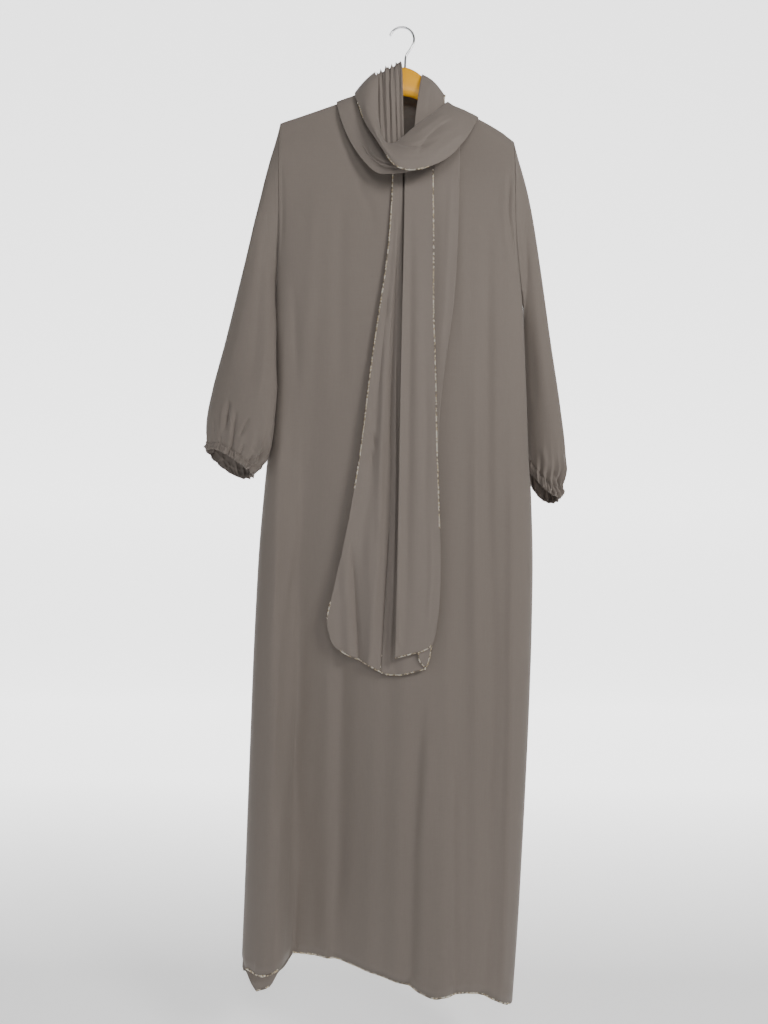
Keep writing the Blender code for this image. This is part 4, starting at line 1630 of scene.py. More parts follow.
# The cuffs' rings, from one that stays in place down to the edge
LEFT_SOLID_RINGS = (
    CuffRing((-306, -570), (-203.0, -612), 6, 2),
    CuffRing((-320, -636), (-203.5, -655), 9, 4),
    CuffRing((-326, -668), (-205.0, -684), 12, 7),
    CuffRing((-328, -690), (-208.0, -705), 15, 11),
    CuffRing((-325, -703), (-211.0, -719), 18, 14),
    CuffRing((-327, -711), (-212.0, -727), 20, 15),
    CuffRing((-323, -719), (-213.5, -734), 21, 16),
)

LEFT_SHOWN_RINGS = (
    CuffRing((-306, -570), (-203.0, -612), 6, 2),
    CuffRing((-318, -636), (-203.5, -655), 8, 3),
    CuffRing((-323, -671), (-205.0, -692), 7, 5),
    CuffRing((-324, -692), (-209.0, -719), 3, 9),
    CuffRing((-321, -704), (-217.0, -741), -2, 19),
    CuffRing((-322, -711), (-227.0, -754), -5, 25),
    CuffRing((-325, -716), (-238.0, -762), -8, 30),
)

RIGHT_SOLID_RINGS = (
    CuffRing((274, -590), (213.0, -620), 6, 2),
    CuffRing((284, -668), (216.0, -668), 8, 4),
    CuffRing((289, -708), (219.0, -698), 10, 7),
    CuffRing((290, -742), (221.0, -722), 12, 10),
    CuffRing((287, -760), (222.0, -738), 14, 12),
    CuffRing((288, -770), (223.0, -747), 15, 13),
    CuffRing((283, -780), (224.0, -755), 16, 14),
)

RIGHT_SHOWN_RINGS = (
    CuffRing((274, -590), (213.0, -620), 6, 2),
    CuffRing((284, -668), (216.0, -668), 8, 4),
    CuffRing((289, -712), (219.0, -694), 7, 6),
    CuffRing((291, -748), (221.0, -716), 7, 8),
    CuffRing((285, -772), (223.0, -730), 9, 11),
    CuffRing((288, -784), (225.0, -738), 10, 12),
    CuffRing((280, -795), (227.0, -746), 11, 14),
)

# The long folds first, then the small creases at the armholes and under the scarf
FRONT_CREASES = (
    Crease(
        (
            (-154, -600), (-160, -837), (-163, -911), (-163, -1083), (-168, -1257), (-171, -1430),
            (-176, -1575),
        ),
        7, 24, 6.5, 5.0, (0.35, 0.0),
    ),
    Crease(
        ((-186, -520), (-193, -706), (-197, -903), (-199, -1133), (-201, -1346), (-205, -1575)),
        13, 10, -3.5, 0, (0.3, 0.0),
    ),
    Crease(((-99, -901), (-91, -1128), (-92, -1371), (-95, -1580)), 14, 20, 3.5, 0, (0.3, 0.0)),
    Crease(((50, -1085), (40, -1248), (34, -1418), (33, -1590)), 15, 6, 6.0, 0, (0.3, 0.0)),
    Crease(((62, -1110), (56, -1250), (52, -1420), (52, -1590)), 8, 12, -2.5, 0, (0.3, 0.0)),
    Crease(((99, -1189), (99, -1360), (104, -1600)), 8, 8, 4.5, 0, (0.35, 0.0)),
    Crease(
        ((146, -250), (147, -524), (150, -793), (158, -1020), (158, -1250), (158, -1478), (154, -1610)),
        13, 11, 6.5, 0, (0.25, 0.0),
    ),
    Crease(((128, -500), (130, -900), (132, -1250), (130, -1600)), 10, 8, -3.2, 0, (0.3, 0.0)),
    Crease(((184, -620), (190, -900), (188, -1300), (182, -1600)), 7, 7, -3.0, 0, (0.3, 0.0)),
    Crease(((-206, -207), (-200, -300), (-198, -404)), 3, 5, 3.0, 0.6, (0.3, 0.4)),
    Crease(((184, -245), (182, -320), (189, -362), (198, -409)), 3, 4, 3.0, 0.6, (0.3, 0.3)),
    Crease(((176, -230), (174, -320), (180, -380), (190, -450)), 6, 4, -1.6, 0, (0.3, 0.4)),
    Crease(((-72, -258), (-64, -288), (-50, -318), (-40, -380)), 5, 6, 2.2, 0, (0.2, 0.5)),
    Crease(((-98, -260), (-98, -400), (-96, -560), (-96, -704)), 13, 12, 2.4, 0, (0.25, 0.4)),
    Crease(((-140, -230), (-146, -420), (-152, -640)), 10, 12, -1.6, 0, (0.3, 0.4)),
    Crease(((108, -260), (106, -420), (104, -640)), 9, 10, -1.5, 0, (0.3, 0.4)),
    Crease(((-178, -420), (-172, -520), (-164, -640)), 6, 9, 2.2, 0, (0.4, 0.4)),
)

BACK_CREASES = (
    Crease(
        ((-130, -330), (-138, -800), (-140, -1200), (-135, -1590)),
        12, 24, 6, 1.0, (0.3, 0.0), Side.BACK,
    ),
    Crease(((-20, -420), (-16, -1000), (-14, -1590)), 10, 17, 5, 0, (0.3, 0.0), Side.BACK),
    Crease(((95, -360), (104, -900), (112, -1590)), 17, 12, 6, 0.8, (0.3, 0.0), Side.BACK),
    Crease(((40, -260), (46, -700), (50, -1100)), 8, 10, 3, 0, (0.3, 0.3), Side.BACK),
    Crease(((-75, -230), (-80, -520), (-84, -900)), 7, 9, 2.5, 0, (0.3, 0.3), Side.BACK),
    Crease(((160, -330), (168, -700), (172, -1300)), 8, 9, 3, 0, (0.3, 0.2), Side.BACK),
    Crease(((-178, -420), (-182, -760), (-186, -1250)), 7, 8, 2.6, 0, (0.3, 0.2), Side.BACK),
    Crease(((12, -190), (6, -300), (2, -430)), 5, 7, 1.8, 0, (0.2, 0.5), Side.BACK),
    Crease(((-62, -1150), (-58, -1400), (-54, -1590)), 9, 9, 3.2, 0, (0.4, 0.0), Side.BACK),
    Crease(((62, -1240), (66, -1420), (70, -1590)), 8, 8, 3.0, 0, (0.4, 0.0), Side.BACK),
)

LEFT_SLEEVE_CREASES = (
    Crease(((-222, -300), (-229, -455), (-234, -555), (-246, -640)), 9, 8, 3.0, 0, (0.35, 0.3)),
    Crease(((-232, -257), (-255, -440), (-274, -573), (-283, -640)), 15, 13, -2.4, 0, (0.3, 0.25)),
    Crease(((-236, -330), (-262, -470), (-290, -600)), 7, 9, 1.8, 0, (0.4, 0.3)),
    Crease(((-216, -480), (-222, -580), (-232, -660)), 5, 5, -1.6, 0, (0.4, 0.3)),
    Crease(((-232, -280), (-244, -440), (-262, -600)), 9, 9, 2.8, 0, (0.35, 0.3), Side.BACK),
    Crease(((-222, -420), (-228, -540), (-238, -650)), 6, 7, 2.2, 0, (0.35, 0.3), Side.BACK),
    Crease(((-252, -420), (-274, -540), (-292, -640)), 7, 7, 1.8, 0, (0.4, 0.3), Side.BACK),
)

RIGHT_SLEEVE_CREASES = (
    Crease(((207, -290), (214, -389), (219, -470)), 4, 6, 2.6, 0.4, (0.3, 0.4)),
    Crease(((220, -330), (236, -470), (250, -600), (256, -690)), 10, 11, -1.4, 0, (0.3, 0.4)),
    Crease(((232, -400), (250, -546), (266, -690)), 7, 8, 1.1, 0, (0.35, 0.4)),
    Crease(((222, -480), (230, -580), (236, -660)), 6, 6, 0.9, 0, (0.4, 0.4)),
    Crease(((214, -330), (226, -480), (238, -660)), 7, 8, 2.6, 0, (0.35, 0.3), Side.BACK),
    Crease(((232, -420), (248, -560), (262, -690)), 6, 6, 2.0, 0, (0.35, 0.3), Side.BACK),
)

LEFT_CUFF_CREASES = (
    Crease(((-279, -632), (-280, -654), (-284.5, -694)), 2.6, 4.0, 4.2, 1.4, (0.5, 0.3)),
    Crease(((-305, -668), (-305, -684), (-304, -700)), 2.2, 2.8, 3.2, 0.8, (0.4, 0.3)),
    Crease(((-262, -650), (-266.5, -674), (-272, -713), (-281, -733)), 2.8, 3.6, 4.2, 1.2, (0.5, 0.1)),
    Crease(((-240, -668), (-247, -682), (-258, -703)), 3.4, 3.0, 3.4, 1.0, (0.4, 0.25)),
    Crease(((-250, -712), (-252, -720), (-258, -734)), 1.8, 2.0, 2.2, 0.4, (0.3, 0.1)),
    Crease(((-214, -722), (-226, -734), (-243, -741)), 2.6, 3.4, 4.0, 1.0, (0.3, 0.2)),
    Crease(((-312, -696), (-309, -706), (-306, -714)), 1.6, 1.8, 1.8, 0, (0.3, 0.1)),
    Crease(((-291, -700), (-293, -712), (-294, -722)), 1.6, 1.8, 1.8, 0, (0.3, 0.1)),
    Crease(((-270, -722), (-268, -733), (-266, -742)), 1.5, 1.8, 1.8, 0, (0.3, 0.1)),
    Crease(((-232, -728), (-240, -742), (-246, -752)), 1.6, 2.0, 2.2, 0, (0.3, 0.1)),
    Crease(((-220, -700), (-228, -716), (-240, -728)), 3.5, 3.0, 1.6, 0, (0.4, 0.3)),
    Crease(((-288, -640), (-290, -668), (-291, -694)), 3.0, 3.0, -1.4, 0, (0.4, 0.3)),
    Crease(((-271, -640), (-273, -670), (-276, -704)), 3.0, 3.0, -1.4, 0, (0.4, 0.3)),
)

RIGHT_CUFF_CREASES = (
    Crease(((262, -746), (272, -762), (280, -778)), 3.2, 3.0, 3.4, 0.8, (0.5, 0.1)),
    Crease(((282, -756), (283, -768), (284, -780)), 1.8, 2.0, 2.0, 0.3, (0.4, 0.15)),
    Crease(((248, -756), (256, -770), (266, -786)), 2.0, 2.2, 1.2, 0.3, (0.4, 0.15)),
    Crease(((268, -776), (272, -786), (277, -794)), 1.5, 1.7, 1.8, 0, (0.2, 0.1)),
    Crease(((276, -778), (280, -786), (284, -791)), 1.5, 1.6, 1.8, 0, (0.2, 0.1)),
    Crease(((262, -782), (266, -790), (270, -797)), 1.5, 1.6, 1.6, 0, (0.2, 0.1)),
    Crease(((244, -700), (250, -728), (257, -750)), 5, 5, -1.4, 0, (0.4, 0.3)),
    Crease(((282, -716), (280, -742), (279, -760)), 4, 4, -1.2, 0, (0.4, 0.3)),
)

# Gathers from the left round by the front: 0 is right, -90 the front and 90 the back
LEFT_GATHERS = (
    Gather(-168, 6, 46, 1.8, 0.04), Gather(-146, 6, 40, 1.0, -0.05), Gather(-122, 7, 28, 0.8, 0.02),
    Gather(-98, 6, 36, 1.0, 0.04), Gather(-76, 7, 24, 0.8, -0.03), Gather(-56, 6, 38, 1.0, 0.03),
    Gather(-30, 6, 34, 1.2, 0.0), Gather(-6, 6, 38, 2.2, 0.03), Gather(24, 6, 62, 2.6, -0.03),
    Gather(52, 6, 44, 2.6, 0.04), Gather(80, 6, 74, 3.0, -0.05), Gather(108, 5, 50, 2.4, 0.03),
    Gather(138, 6, 66, 2.8, 0.0), Gather(164, 5, 36, 2.0, 0.02),
)

RIGHT_GATHERS = (
    Gather(-160, 6, 36, 1.2, 0.03), Gather(-128, 6, 22, 0.4, -0.02), Gather(-84, 6, 20, 0.4, -0.03),
    Gather(-44, 6, 26, 0.8, 0.03), Gather(-8, 6, 48, 2.2, -0.02), Gather(22, 6, 42, 2.2, 0.04),
    Gather(50, 6, 66, 2.8, -0.04), Gather(82, 6, 48, 2.6, 0.02), Gather(112, 5, 70, 2.8, 0.03),
    Gather(146, 6, 40, 2.4, -0.03),
)


FRONT_WAVES = (Wave(62, 0.9, 0.1, 0.01), Wave(37, 0.5, 0.4, -0.02))
BACK_WAVES = (Wave(70, 1.2, 0.3, 0.015), Wave(41, 0.6, 0.7, -0.01))

# The level run of rim at a panel's foot
HEM_GOLD = (Stretch(top=-1480.0, steep=0.75),)


@dataclass
class Gown:
    """The abaya itself: front, back and two sleeves.

    Attributes:
        finishes: The scene's finishes.
        cloth: The cloth's thickness.
        panel_flat: Width and length that each body panel was cut to, in metres.
        panel_area: A panel's area in square metres, less its armholes and neck.
        sleeve_share: The share of a sleeve's width by its length that is cloth.
        winder: The hem's overlock.
        seed_step: The seeds set aside for each hem's thread.
        sewn: The nodes that are sewn to each other.
    """

    finishes: Finishes
    cloth: float = 2.0
    panel_flat: Place = (0.56, 1.47)
    panel_area: float = 0.76
    sleeve_share: float = 0.86
    winder: Overlock = Overlock(reach=3.6, lift=0.35, thread=0.45)
    seed_step: int = 100
    sewn: tuple[str, ...] = ("abaya_front", "abaya_back", "sleeve_left", "sleeve_right")

    def seams_of(self, node: str) -> tuple[str, ...]:
        """Returns the nodes that a node may be sewn to."""
        return tuple(name for name in self.sewn if name != node)

    def panel(
        self, node: str, side: Side, creases: Sequence[Crease], waves: Sequence[Wave], hem: Sequence[Place]
    ) -> Panel:
        """Returns a body panel, not yet built."""
        return Panel(
            node=node,
            name=f"{node}_cloth",
            material=self.finishes.gown,
            slot="crepe",
            flat=self.panel_flat,
            area=self.panel_area,
            thickness=self.cloth,
            levels=2,
            longest=45.0,
            creases=creases,
            waves=waves,
            seams=self.seams_of(node),
            gold=HEM_GOLD,
            side=side,
            hem_moves=hem,
            left_moves=LEFT_SIDE_MOVES,
            right_moves=RIGHT_SIDE_MOVES,
        )

    def sleeve(
        self,
        node: str,
        creases: Sequence[Crease],
        gathers: Sequence[Gather],
        flat: Place,
        solid: Sequence[CuffRing],
        shown: Sequence[CuffRing],
        side_moves: Sequence[Place] = (),
    ) -> Sleeve:
        """Returns a sleeve, not yet built."""
        return Sleeve(
            node=node,
            name=f"{node}_cloth",
            material=self.finishes.gown,
            slot="crepe",
            flat=flat,
            area=self.sleeve_share * flat[0] * flat[1],
            thickness=self.cloth,
            levels=2,
            longest=30.0,
            fine_below=-610.0,
            held=Held.GATHERED,
            hung_from=("hanger_wood", "abaya_front_cloth"),
            creases=creases,
            gathers=gathers,
            seams=self.seams_of(node),
            solid_rings=solid,
            shown_rings=shown,
            side_moves=side_moves,
            calmed=16,
            calm_angle=75.0,
        )

    def build(self, frame: dict[str, Any]) -> None:
        """Builds the four pieces with their hems, casings and stitches."""
        panels = [
            self.panel("abaya_front", Side.FRONT, FRONT_CREASES, FRONT_WAVES, FRONT_HEM_MOVES),
            self.panel("abaya_back", Side.BACK, BACK_CREASES, BACK_WAVES, BACK_HEM_MOVES),
        ]
        for number, panel in enumerate(panels):
            panel.build(frame)
            panel.declare(panel.overlock(self.winder, self.finishes.gold, number * self.seed_step))
        sleeves = [
            self.sleeve(
                "sleeve_left",
                LEFT_SLEEVE_CREASES + LEFT_CUFF_CREASES,
                LEFT_GATHERS,
                (0.30, 0.48),
                LEFT_SOLID_RINGS,
                LEFT_SHOWN_RINGS,
                LEFT_SLEEVE_SIDE_MOVES,
            ),
            self.sleeve(
                "sleeve_right",
                RIGHT_SLEEVE_CREASES + RIGHT_CUFF_CREASES,
                RIGHT_GATHERS,
                (0.25, 0.46),
                RIGHT_SOLID_RINGS,
                RIGHT_SHOWN_RINGS,
            ),
        ]
        for sleeve in sleeves:
            sleeve.build(frame)
            sleeve.declare(sleeve.stitches(self.finishes.thread))


# The scarf


END_WAVES = (Wave(29, 0.4, 0.2, 0.01),)

LEFT_END_CREASES = (
    Crease(
        (
            (-8, -330), (-5, -400), (-13, -536), (-13, -689), (-10, -746), (-11, -847), (-17, -962),
            (-23, -1078),
        ),
        4, 4, 0.8, 3.4, (0.15, 0.0),
    ),
    Crease(((-11, -800), (-13, -880), (-17, -962), (-23, -1078)), 3, 3, 3.2, 1.6, (0.4, 0.0)),
    Crease(
        ((-19, -420), (-24, -536), (-26, -689), (-26, -847), (-33, -962), (-42, -1078)),
        8, 6, -3.2, 0, (0.3, 0.0),
    ),
    Crease(((-4, -480), (-5, -620), (-3, -750), (-4, -900), (-8, -1075)), 3, 3, -3.4, 0, (0.3, 0.0)),
    Crease(((-77, -836), (-67, -961), (-58, -1074)), 3.5, 6, 4.6, 1.6, (0.4, 0.0)),
    Crease(((-88, -860), (-80, -970), (-74, -1066)), 8, 6, -2.4, 0, (0.4, 0.0)),
    Crease(((-53, -677), (-41, -700), (-35, -732)), 4, 4, 2.0, 0, (0.3, 0.5)),
    Crease(((-54, -706), (-44, -726), (-41, -765)), 3, 4, 1.8, 0, (0.3, 0.5)),
    Crease(((-27, -440), (-22, -476), (-18, -525)), 3, 4, 1.8, 0, (0.3, 0.4)),
    Crease(((-44, -800), (-42, -900), (-40, -1060)), 7, 8, -1.6, 0, (0.4, 0.0)),
)

RIGHT_END_CREASES = (
    Crease(((18, -300), (18, -560), (17, -820), (16, -1030)), 5, 7, 1.8, 0, (0.2, 0.2)),
    Crease(((32, -360), (34, -640), (36, -900)), 8, 8, -1.6, 0, (0.3, 0.3)),
    Crease(((44, -560), (46, -720), (44, -860)), 5, 6, 1.4, 0, (0.4, 0.4)),
    Crease(((6, -700), (5, -860), (5, -1030)), 3, 4, -1.5, 0, (0.3, 0.0)),
    Crease(((52, -800), (56, -900), (52, -1020)), 5, 4, -1.6, 0, (0.4, 0.2)),
)

REAR_END_CREASES = (
    Crease(((84, -240), (82, -330), (76, -460), (66, -600)), 5, 4, -1.2, 0, (0.2, 0.4)),
    Crease(((62, -280), (60, -400), (56, -560)), 6, 7, 1.2, 0, (0.3, 0.4)),
)

COWL_CREASES = (
    Crease(((92, -166), (70, -184), (52, -202), (37, -222), (24, -250)), 4, 8, 3.4, 1.6, (0.25, 0.25)),
    Crease(((80, -154), (58, -172), (38, -192), (14, -214)), 7, 6, -2.6, 0, (0.3, 0.3)),
    Crease(((104, -188), (86, -208), (66, -230), (44, -250)), 6, 6, -2.0, 0, (0.3, 0.3)),
    Crease(((-22, -206), (2, -226), (24, -230), (48, -222), (72, -204)), 3, 6, 2.4, 0.8, (0.3, 0.4)),
    Crease(((-47, -120), (-46, -150), (-40, -178), (-28, -206)), 3, 4, 2.0, 0.6, (0.3, 0.3)),
    Crease(((-60, -130), (-57, -160), (-46, -190), (-30, -222)), 5, 5, -1.8, 0, (0.3, 0.3)),
    Crease(((-30, -232), (-8, -248), (18, -251), (44, -244)), 2.4, 2.4, 1.2, 0.4, (0.3, 0.3)),
)

BAND_CREASES = (
    Crease(
        ((-72, -198), (-60, -226), (-44, -246), (-24, -258), (4, -261)),
        2.4, 3.0, 2.8, 1.4, (0.3, 0.25),
    ),
    Crease(((-58, -214), (-47, -236), (-30, -249), (-10, -254)), 2.0, 2.6, 2.4, 1.2, (0.3, 0.3)),
    Crease(((-66, -206), (-54, -231), (-38, -247), (-16, -256)), 2.4, 2.4, -1.6, 0, (0.3, 0.3)),
    Crease(((-92, -140), (-86, -170), (-74, -196)), 4, 4, 1.4, 0, (0.2, 0.3)),
)

NECK_LEFT_CREASES = (
    Crease(((-22, -60), (-23, -100), (-22, -140), (-17, -190)), 2.2, 4.0, 2.8, 1.4, (0.0, 0.4)),
    Crease(((-11, -56), (-9.5, -72), (-5, -100), (-3, -128)), 1.8, 2.8, 2.4, 1.2, (0.0, 0.5)),
    Crease(((-34, -66), (-35, -110), (-32, -160)), 3.0, 4.0, 1.0, 0.4, (0.1, 0.4)),
    Crease(((-16, -66), (-14, -110), (-11, -160)), 3.6, 3.0, -1.2, 0, (0.1, 0.4)),
    Crease(((-15, -120), (-13, -150), (-8, -185)), 2.4, 3.0, 1.2, 0.5, (0.3, 0.3)),
)

NECK_RIGHT_CREASES = (
    Crease(((52, -100), (48, -130), (44, -160)), 5, 6, 1.4, 0, (0.2, 0.3)),
    Crease(((66, -118), (62, -140), (56, -164)), 4, 5, -1.2, 0, (0.2, 0.3)),
)

BACK_WRAP_CREASES = (
    Crease(
        ((-52, -96), (-30, -112), (0, -120), (36, -122), (62, -116)),
        3, 4, 1.6, 0.6, (0.2, 0.2), Side.BACK,
    ),
    Crease(((-50, -112), (-20, -130), (16, -136), (56, -132)), 4, 4, -1.6, 0, (0.3, 0.2), Side.BACK),
    Crease(((-30, -84), (-6, -92), (20, -94), (44, -92)), 3, 3, 1.2, 0.3, (0.3, 0.3), Side.BACK),
)


# The left end's outer edge and foot
LEFT_END_GOLD = (
    Stretch(edge=((-1001.0, -113.0), (-670.0, -46.0), (-471.0, -20.0), (-272.0, -8.0))),
    Stretch(top=-1050.0),
)

# The upper part of the right end's outer edge, and its foot
RIGHT_END_GOLD = (
    Stretch(left=30.0, foot=-850.0, top=-250.0),
    Stretch(top=-1020.0, steep=0.8),
)

# The corner of the rear layer that shows
REAR_END_GOLD = (Stretch(top=-1035.0),)

# Two lengths of the loop's lower edge, over the chest and beside the left shoulder
COWL_GOLD = (
    Stretch(left=-24.0, right=46.0, top=-238.0),
    Stretch(right=-58.0, foot=-172.0, top=-138.0),
)

# A short length of edge that shows beside the right shoulder
NECK_RIGHT_GOLD = (Stretch(left=68.0, foot=-146.0, top=-112.0, ahead_of=2.0),)

# Moves that bring each turn's edges to the line they have on the garment
BAND_NUDGES = (
    Nudge(-45, -120, 0, 0), Nudge(-90, -140, 0, 0), Nudge(-47, -198, 0, 1), Nudge(-82, -212, -1, 3),
    Nudge(-35, -221, -1, 3), Nudge(-68, -237, -2, 6), Nudge(-23, -241, -2, 7), Nudge(-52, -261, -4, 11),
    Nudge(-10, -255, -3, 11), Nudge(-37, -278, -4, 13), Nudge(4, -260, -3, 13),
    Nudge(-19, -284, -5, 15), Nudge(20, -259, -5, 15), Nudge(8, -283, -8, 15), Nudge(35, -277, -10, 15),
    Nudge(58, -264, -12, 13), Nudge(56, -244, -10, 13),
)

NECK_LEFT_NUDGES = (
    Nudge(-42, -84, 0, 7), Nudge(-28, -74, 0, 6), Nudge(-16, -68, 0, 7), Nudge(-8, -64, 0, 6.5),
    Nudge(0, -64, 0, 7), Nudge(-42, -120, 0, 2), Nudge(0, -110, 0, 2), Nudge(-40, -170, 0, 0),
    Nudge(4, -170, 0, 0),
)

COWL_NUDGES = (
    Nudge(-46, -75, 0, -3.0), Nudge(-60, -92, 0, -1.8), Nudge(-79, -113, 0, 0), Nudge(-45, -110, 0, 0),
    Nudge(-79, -150, 0, 0), Nudge(0, -220, 0, 0), Nudge(90, -180, 0, 0),
)


@dataclass
class Scarf:
    """The scarf: its two hanging ends and the turns round the hanger's neck.

    Attributes:
        finishes: The scene's finishes.
        cloth: The cloth's thickness.
        winder: The edge's overlock.
        first_seed: The first seed of its threads.
        seed_step: The seeds set aside for each stretch's thread.
    """

    finishes: Finishes
    cloth: float = 1.3
    winder: Overlock = Overlock(reach=2.2)
    first_seed: int = 1000
    seed_step: int = 100

    def end(
        self, node: str, flat: Place, creases: Sequence[Crease], gold: Sequence[Stretch], lift: float
    ) -> Panel:
        """Returns a hanging end, not yet built."""
        return Panel(
            node=node,
            name=f"{node}_cloth",
            material=self.finishes.scarf,
            slot="scarf_crepe",
            flat=flat,
            thickness=self.cloth,
            levels=3,
            longest=40.0,
            creases=creases,
            waves=END_WAVES,
            hung_from=("scarf_cowl_cloth",),
            gold=gold,
            head_lift=lift,
        )

    def turn(
        self,
        node: str,
        flat: Place,
        creases: Sequence[Crease],
        gold: Sequence[Stretch] = (),
        nudges: Sequence[Nudge] = (),
        calmed: int = 0,
        levels: int = 3,
    ) -> Turn:
        """Returns a turn of scarf, not yet built."""
        return Turn(
            node=node,
            name=f"{node}_cloth",
            material=self.finishes.scarf,
            slot="scarf_crepe",
            flat=flat,
            thickness=self.cloth,
            levels=levels,
            longest=60.0,
            held=Held.DRAPED,
            creases=creases,
            gold=gold,
            nudges=nudges,
            calmed=calmed,
        )

    def build(self, frame: dict[str, Any]) -> None:
        """Builds every stretch of the scarf with its metallic edge."""
        cloths = [
            self.end("scarf_end_left", (0.078, 0.81), LEFT_END_CREASES, LEFT_END_GOLD, 18.0),
            self.end("scarf_end_right", (0.062, 0.78), RIGHT_END_CREASES, RIGHT_END_GOLD, 18.0),
            self.end("scarf_end_rear", (0.062, 0.80), REAR_END_CREASES, REAR_END_GOLD, 12.0),
            self.turn("scarf_cowl", (0.06, 0.38), COWL_CREASES, COWL_GOLD, COWL_NUDGES),
            self.turn("scarf_band_left", (0.035, 0.29), BAND_CREASES, nudges=BAND_NUDGES),
            self.turn(
                "scarf_neck_left",
                (0.06, 0.175),
                NECK_LEFT_CREASES,
                nudges=NECK_LEFT_NUDGES,
                calmed=40,
                levels=2,
            ),
            self.turn("scarf_neck_right", (0.05, 0.13), NECK_RIGHT_CREASES, NECK_RIGHT_GOLD),
            self.turn("scarf_back", (0.06, 0.28), BACK_WRAP_CREASES),
        ]
        for number, cloth in enumerate(cloths):
            cloth.build(frame)
            seed = self.first_seed + number * self.seed_step
            cloth.declare(cloth.overlock(self.winder, self.finishes.gold, seed))


# The hanger


@dataclass
class Hanger:
    """The varnished wooden hanger and its wire hook.

    Attributes:
        finishes: The scene's finishes.
        sharp_from: Edges that turn by more than this, in degrees, stay sharp.
        levels: Rounds of subdivision.
    """

    finishes: Finishes
    sharp_from: float = 60.0
    levels: int = 2

    def smooth_piece(
        self, frame: dict[str, Any], node: str, material: bpy.types.Material
    ) -> None:
        """Replaces a solid with a rounded copy of itself."""
        piece = welded_copy(frame["nodes"][node], f"{node}_finished", material)
        crease_sharp_edges(piece, self.sharp_from)
        round_off(piece, self.levels)
        shade(piece)
        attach(piece, "root")
        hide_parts(node)
        log.info("%s: %d faces", piece.name, len(piece.data.polygons))

    def build(self, frame: dict[str, Any]) -> None:
        """Builds the wood and the hook."""
        self.smooth_piece(frame, "hanger_wood", self.finishes.wood)
        self.smooth_piece(frame, "hanger_hook", self.finishes.wire)


# The studio


@dataclass(frozen=True)
class Lamp:
    """A square soft light.

    Attributes:
        name: Its name.
        place: Where it is, in metres.
        aim: The place that it faces.
        size: Its side, in metres.
        power: Its power, in watts.
        colour: Its colour.
    """

    name: str
    place: tuple[float, float, float]
    aim: tuple[float, float, float]
    size: float
    power: float
    colour: Colour


LAMPS = (
    Lamp("key", (1.5, -1.6, 0.35), (0.0, 0.0, -0.6), 0.6, 35.0, (1.0, 0.985, 0.965)),
    Lamp("front", (0.1, -2.3, 0.35), (0.0, 0.0, -0.45), 0.7, 14.0, (1.0, 1.0, 1.0)),
    Lamp("fill", (-2.2, -1.2, -0.4), (0.0, 0.0, -0.8), 1.2, 9.0, (0.96, 0.975, 1.0)),
)


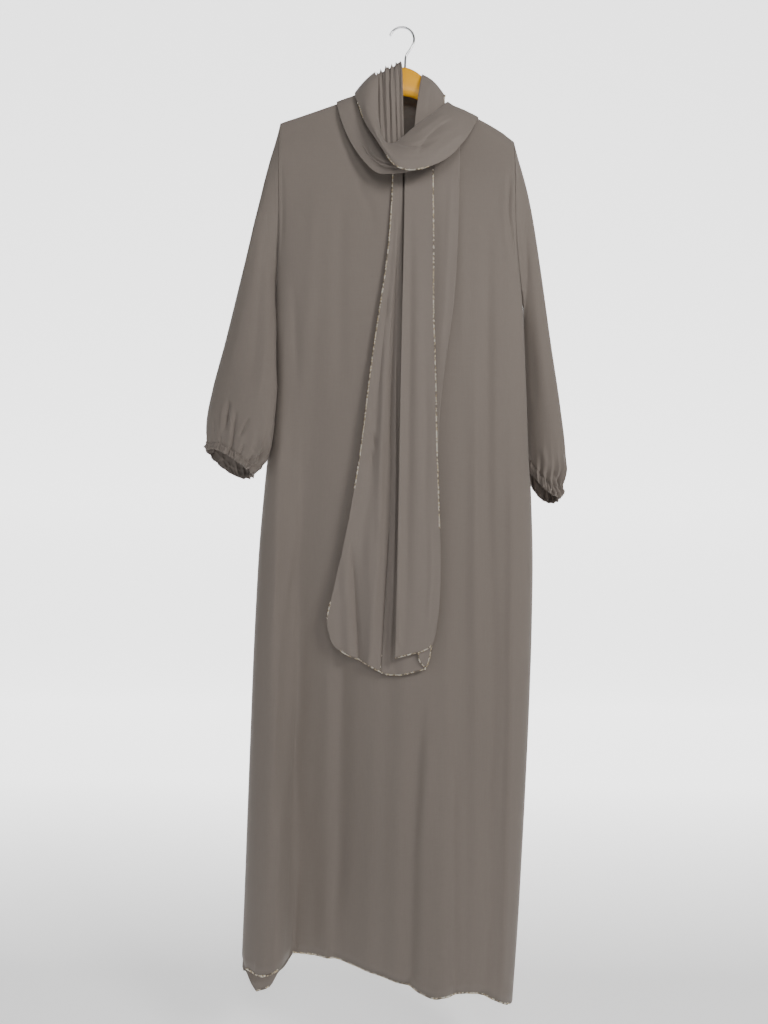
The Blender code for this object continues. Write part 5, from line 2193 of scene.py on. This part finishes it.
@dataclass
class Studio:
    """The plain floor and sweep, the lights and the camera.

    Attributes:
        finishes: The scene's finishes.
        floor_z: The floor's height, in metres.
        wall_y: The wall's depth.
        bend: The radius of the curve between them.
        bend_steps: The steps of that curve.
        half_width: Half the floor's width.
        front_y: The floor's front edge.
        top_z: The wall's top.
        room_colour: The colour of the room's even light.
        room_light: Its strength.
        camera_place: The camera's place, in metres.
        camera_roll: How far it leans over, in degrees.
        focal_pixels: Its focal length, in pixels of the photograph.
        frame_height: The photograph's height, in pixels.
        sensor: The sensor's longer side, in millimetres.
        near_clip: The nearest that the camera sees.
    """

    finishes: Finishes
    floor_z: float = -1.76
    wall_y: float = 3.4
    bend: float = 1.0
    bend_steps: int = 24
    half_width: float = 6.0
    front_y: float = -5.0
    top_z: float = 3.5
    room_colour: Colour = (0.97, 0.97, 0.98)
    room_light: float = 0.13
    camera_place: tuple[float, float, float] = (-0.0206, -1.308, -0.8223)
    camera_roll: float = -0.7
    focal_pixels: float = 769.5
    frame_height: float = 1024.0
    sensor: float = 36.0
    near_clip: float = 0.01

    def sweep(self) -> None:
        """Makes the floor, which curves up into a wall far behind the part."""
        bpy.ops.mesh.primitive_plane_add(size=1.0, location=(0, 0, self.floor_z))
        floor = bpy.context.object
        floor.name = "sweep"
        with editing(floor):
            bpy.ops.mesh.select_all(action="SELECT")
            bpy.ops.transform.resize(
                value=(2 * self.half_width, self.wall_y - self.bend - self.front_y, 1.0),
                center_override=(0, 0, self.floor_z),
            )
            middle = 0.5 * (self.wall_y - self.bend + self.front_y)
            bpy.ops.transform.translate(value=(0, middle, 0))
            bpy.ops.mesh.select_mode(type="EDGE")
            bpy.ops.mesh.select_all(action="DESELECT")
        rear = max(v.co.y for v in floor.data.vertices) - 1e-4
        for edge in floor.data.edges:
            edge.select = all(floor.data.vertices[i].co.y > rear for i in edge.vertices)
        with editing(floor):
            bpy.ops.mesh.spin(
                steps=self.bend_steps,
                angle=math.radians(-90),
                center=(0, self.wall_y - self.bend, self.floor_z + self.bend),
                axis=(1, 0, 0),
            )
            rise = self.top_z - self.floor_z - self.bend
            bpy.ops.mesh.extrude_region_move(TRANSFORM_OT_translate={"value": (0, 0, rise)})
        activate(floor)
        bpy.ops.object.transform_apply(location=True, rotation=True, scale=True)
        bpy.ops.object.shade_smooth()
        floor.data.materials.append(self.finishes.sweep)

    def area_light(self, lamp: Lamp) -> None:
        """Adds a lamp."""
        data = bpy.data.lights.new(lamp.name, "AREA")
        data.size = lamp.size
        data.energy = lamp.power
        data.color = lamp.colour
        light = bpy.data.objects.new(lamp.name, data)
        bpy.context.scene.collection.objects.link(light)
        light.location = lamp.place
        direction = Vector(lamp.aim) - Vector(lamp.place)
        light.rotation_euler = direction.to_track_quat("-Z", "Y").to_euler()

    def lights(self) -> None:
        """Adds the lamps and the even light of a white room."""
        for lamp in LAMPS:
            self.area_light(lamp)
        world = bpy.data.worlds.new("white_room")
        world.use_nodes = True
        background = world.node_tree.nodes["Background"]
        background.inputs["Color"].default_value = (*self.room_colour, 1.0)
        background.inputs["Strength"].default_value = self.room_light
        bpy.context.scene.world = world

    def camera(self) -> None:
        """Adds the camera at the photograph's place."""
        data = bpy.data.cameras.new("camera")
        data.sensor_width = self.sensor
        data.lens = self.focal_pixels / self.frame_height * self.sensor
        data.clip_start = self.near_clip
        camera = bpy.data.objects.new("camera", data)
        bpy.context.scene.collection.objects.link(camera)
        camera.location = self.camera_place
        camera.rotation_euler = (math.radians(90), math.radians(self.camera_roll), 0)
        bpy.context.scene.camera = camera

    def build(self) -> None:
        """Builds the studio."""
        self.sweep()
        self.lights()
        self.camera()


def main() -> None:
    """Loads the frame and builds everything on it."""
    logging.basicConfig(level=logging.INFO, format="%(name)s: %(message)s")
    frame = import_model()
    finishes = Finishes.make()
    Studio(finishes).build()
    Gown(finishes).build(frame)
    Scarf(finishes).build(frame)
    Hanger(finishes).build(frame)


if __name__ == "__main__":
    main()
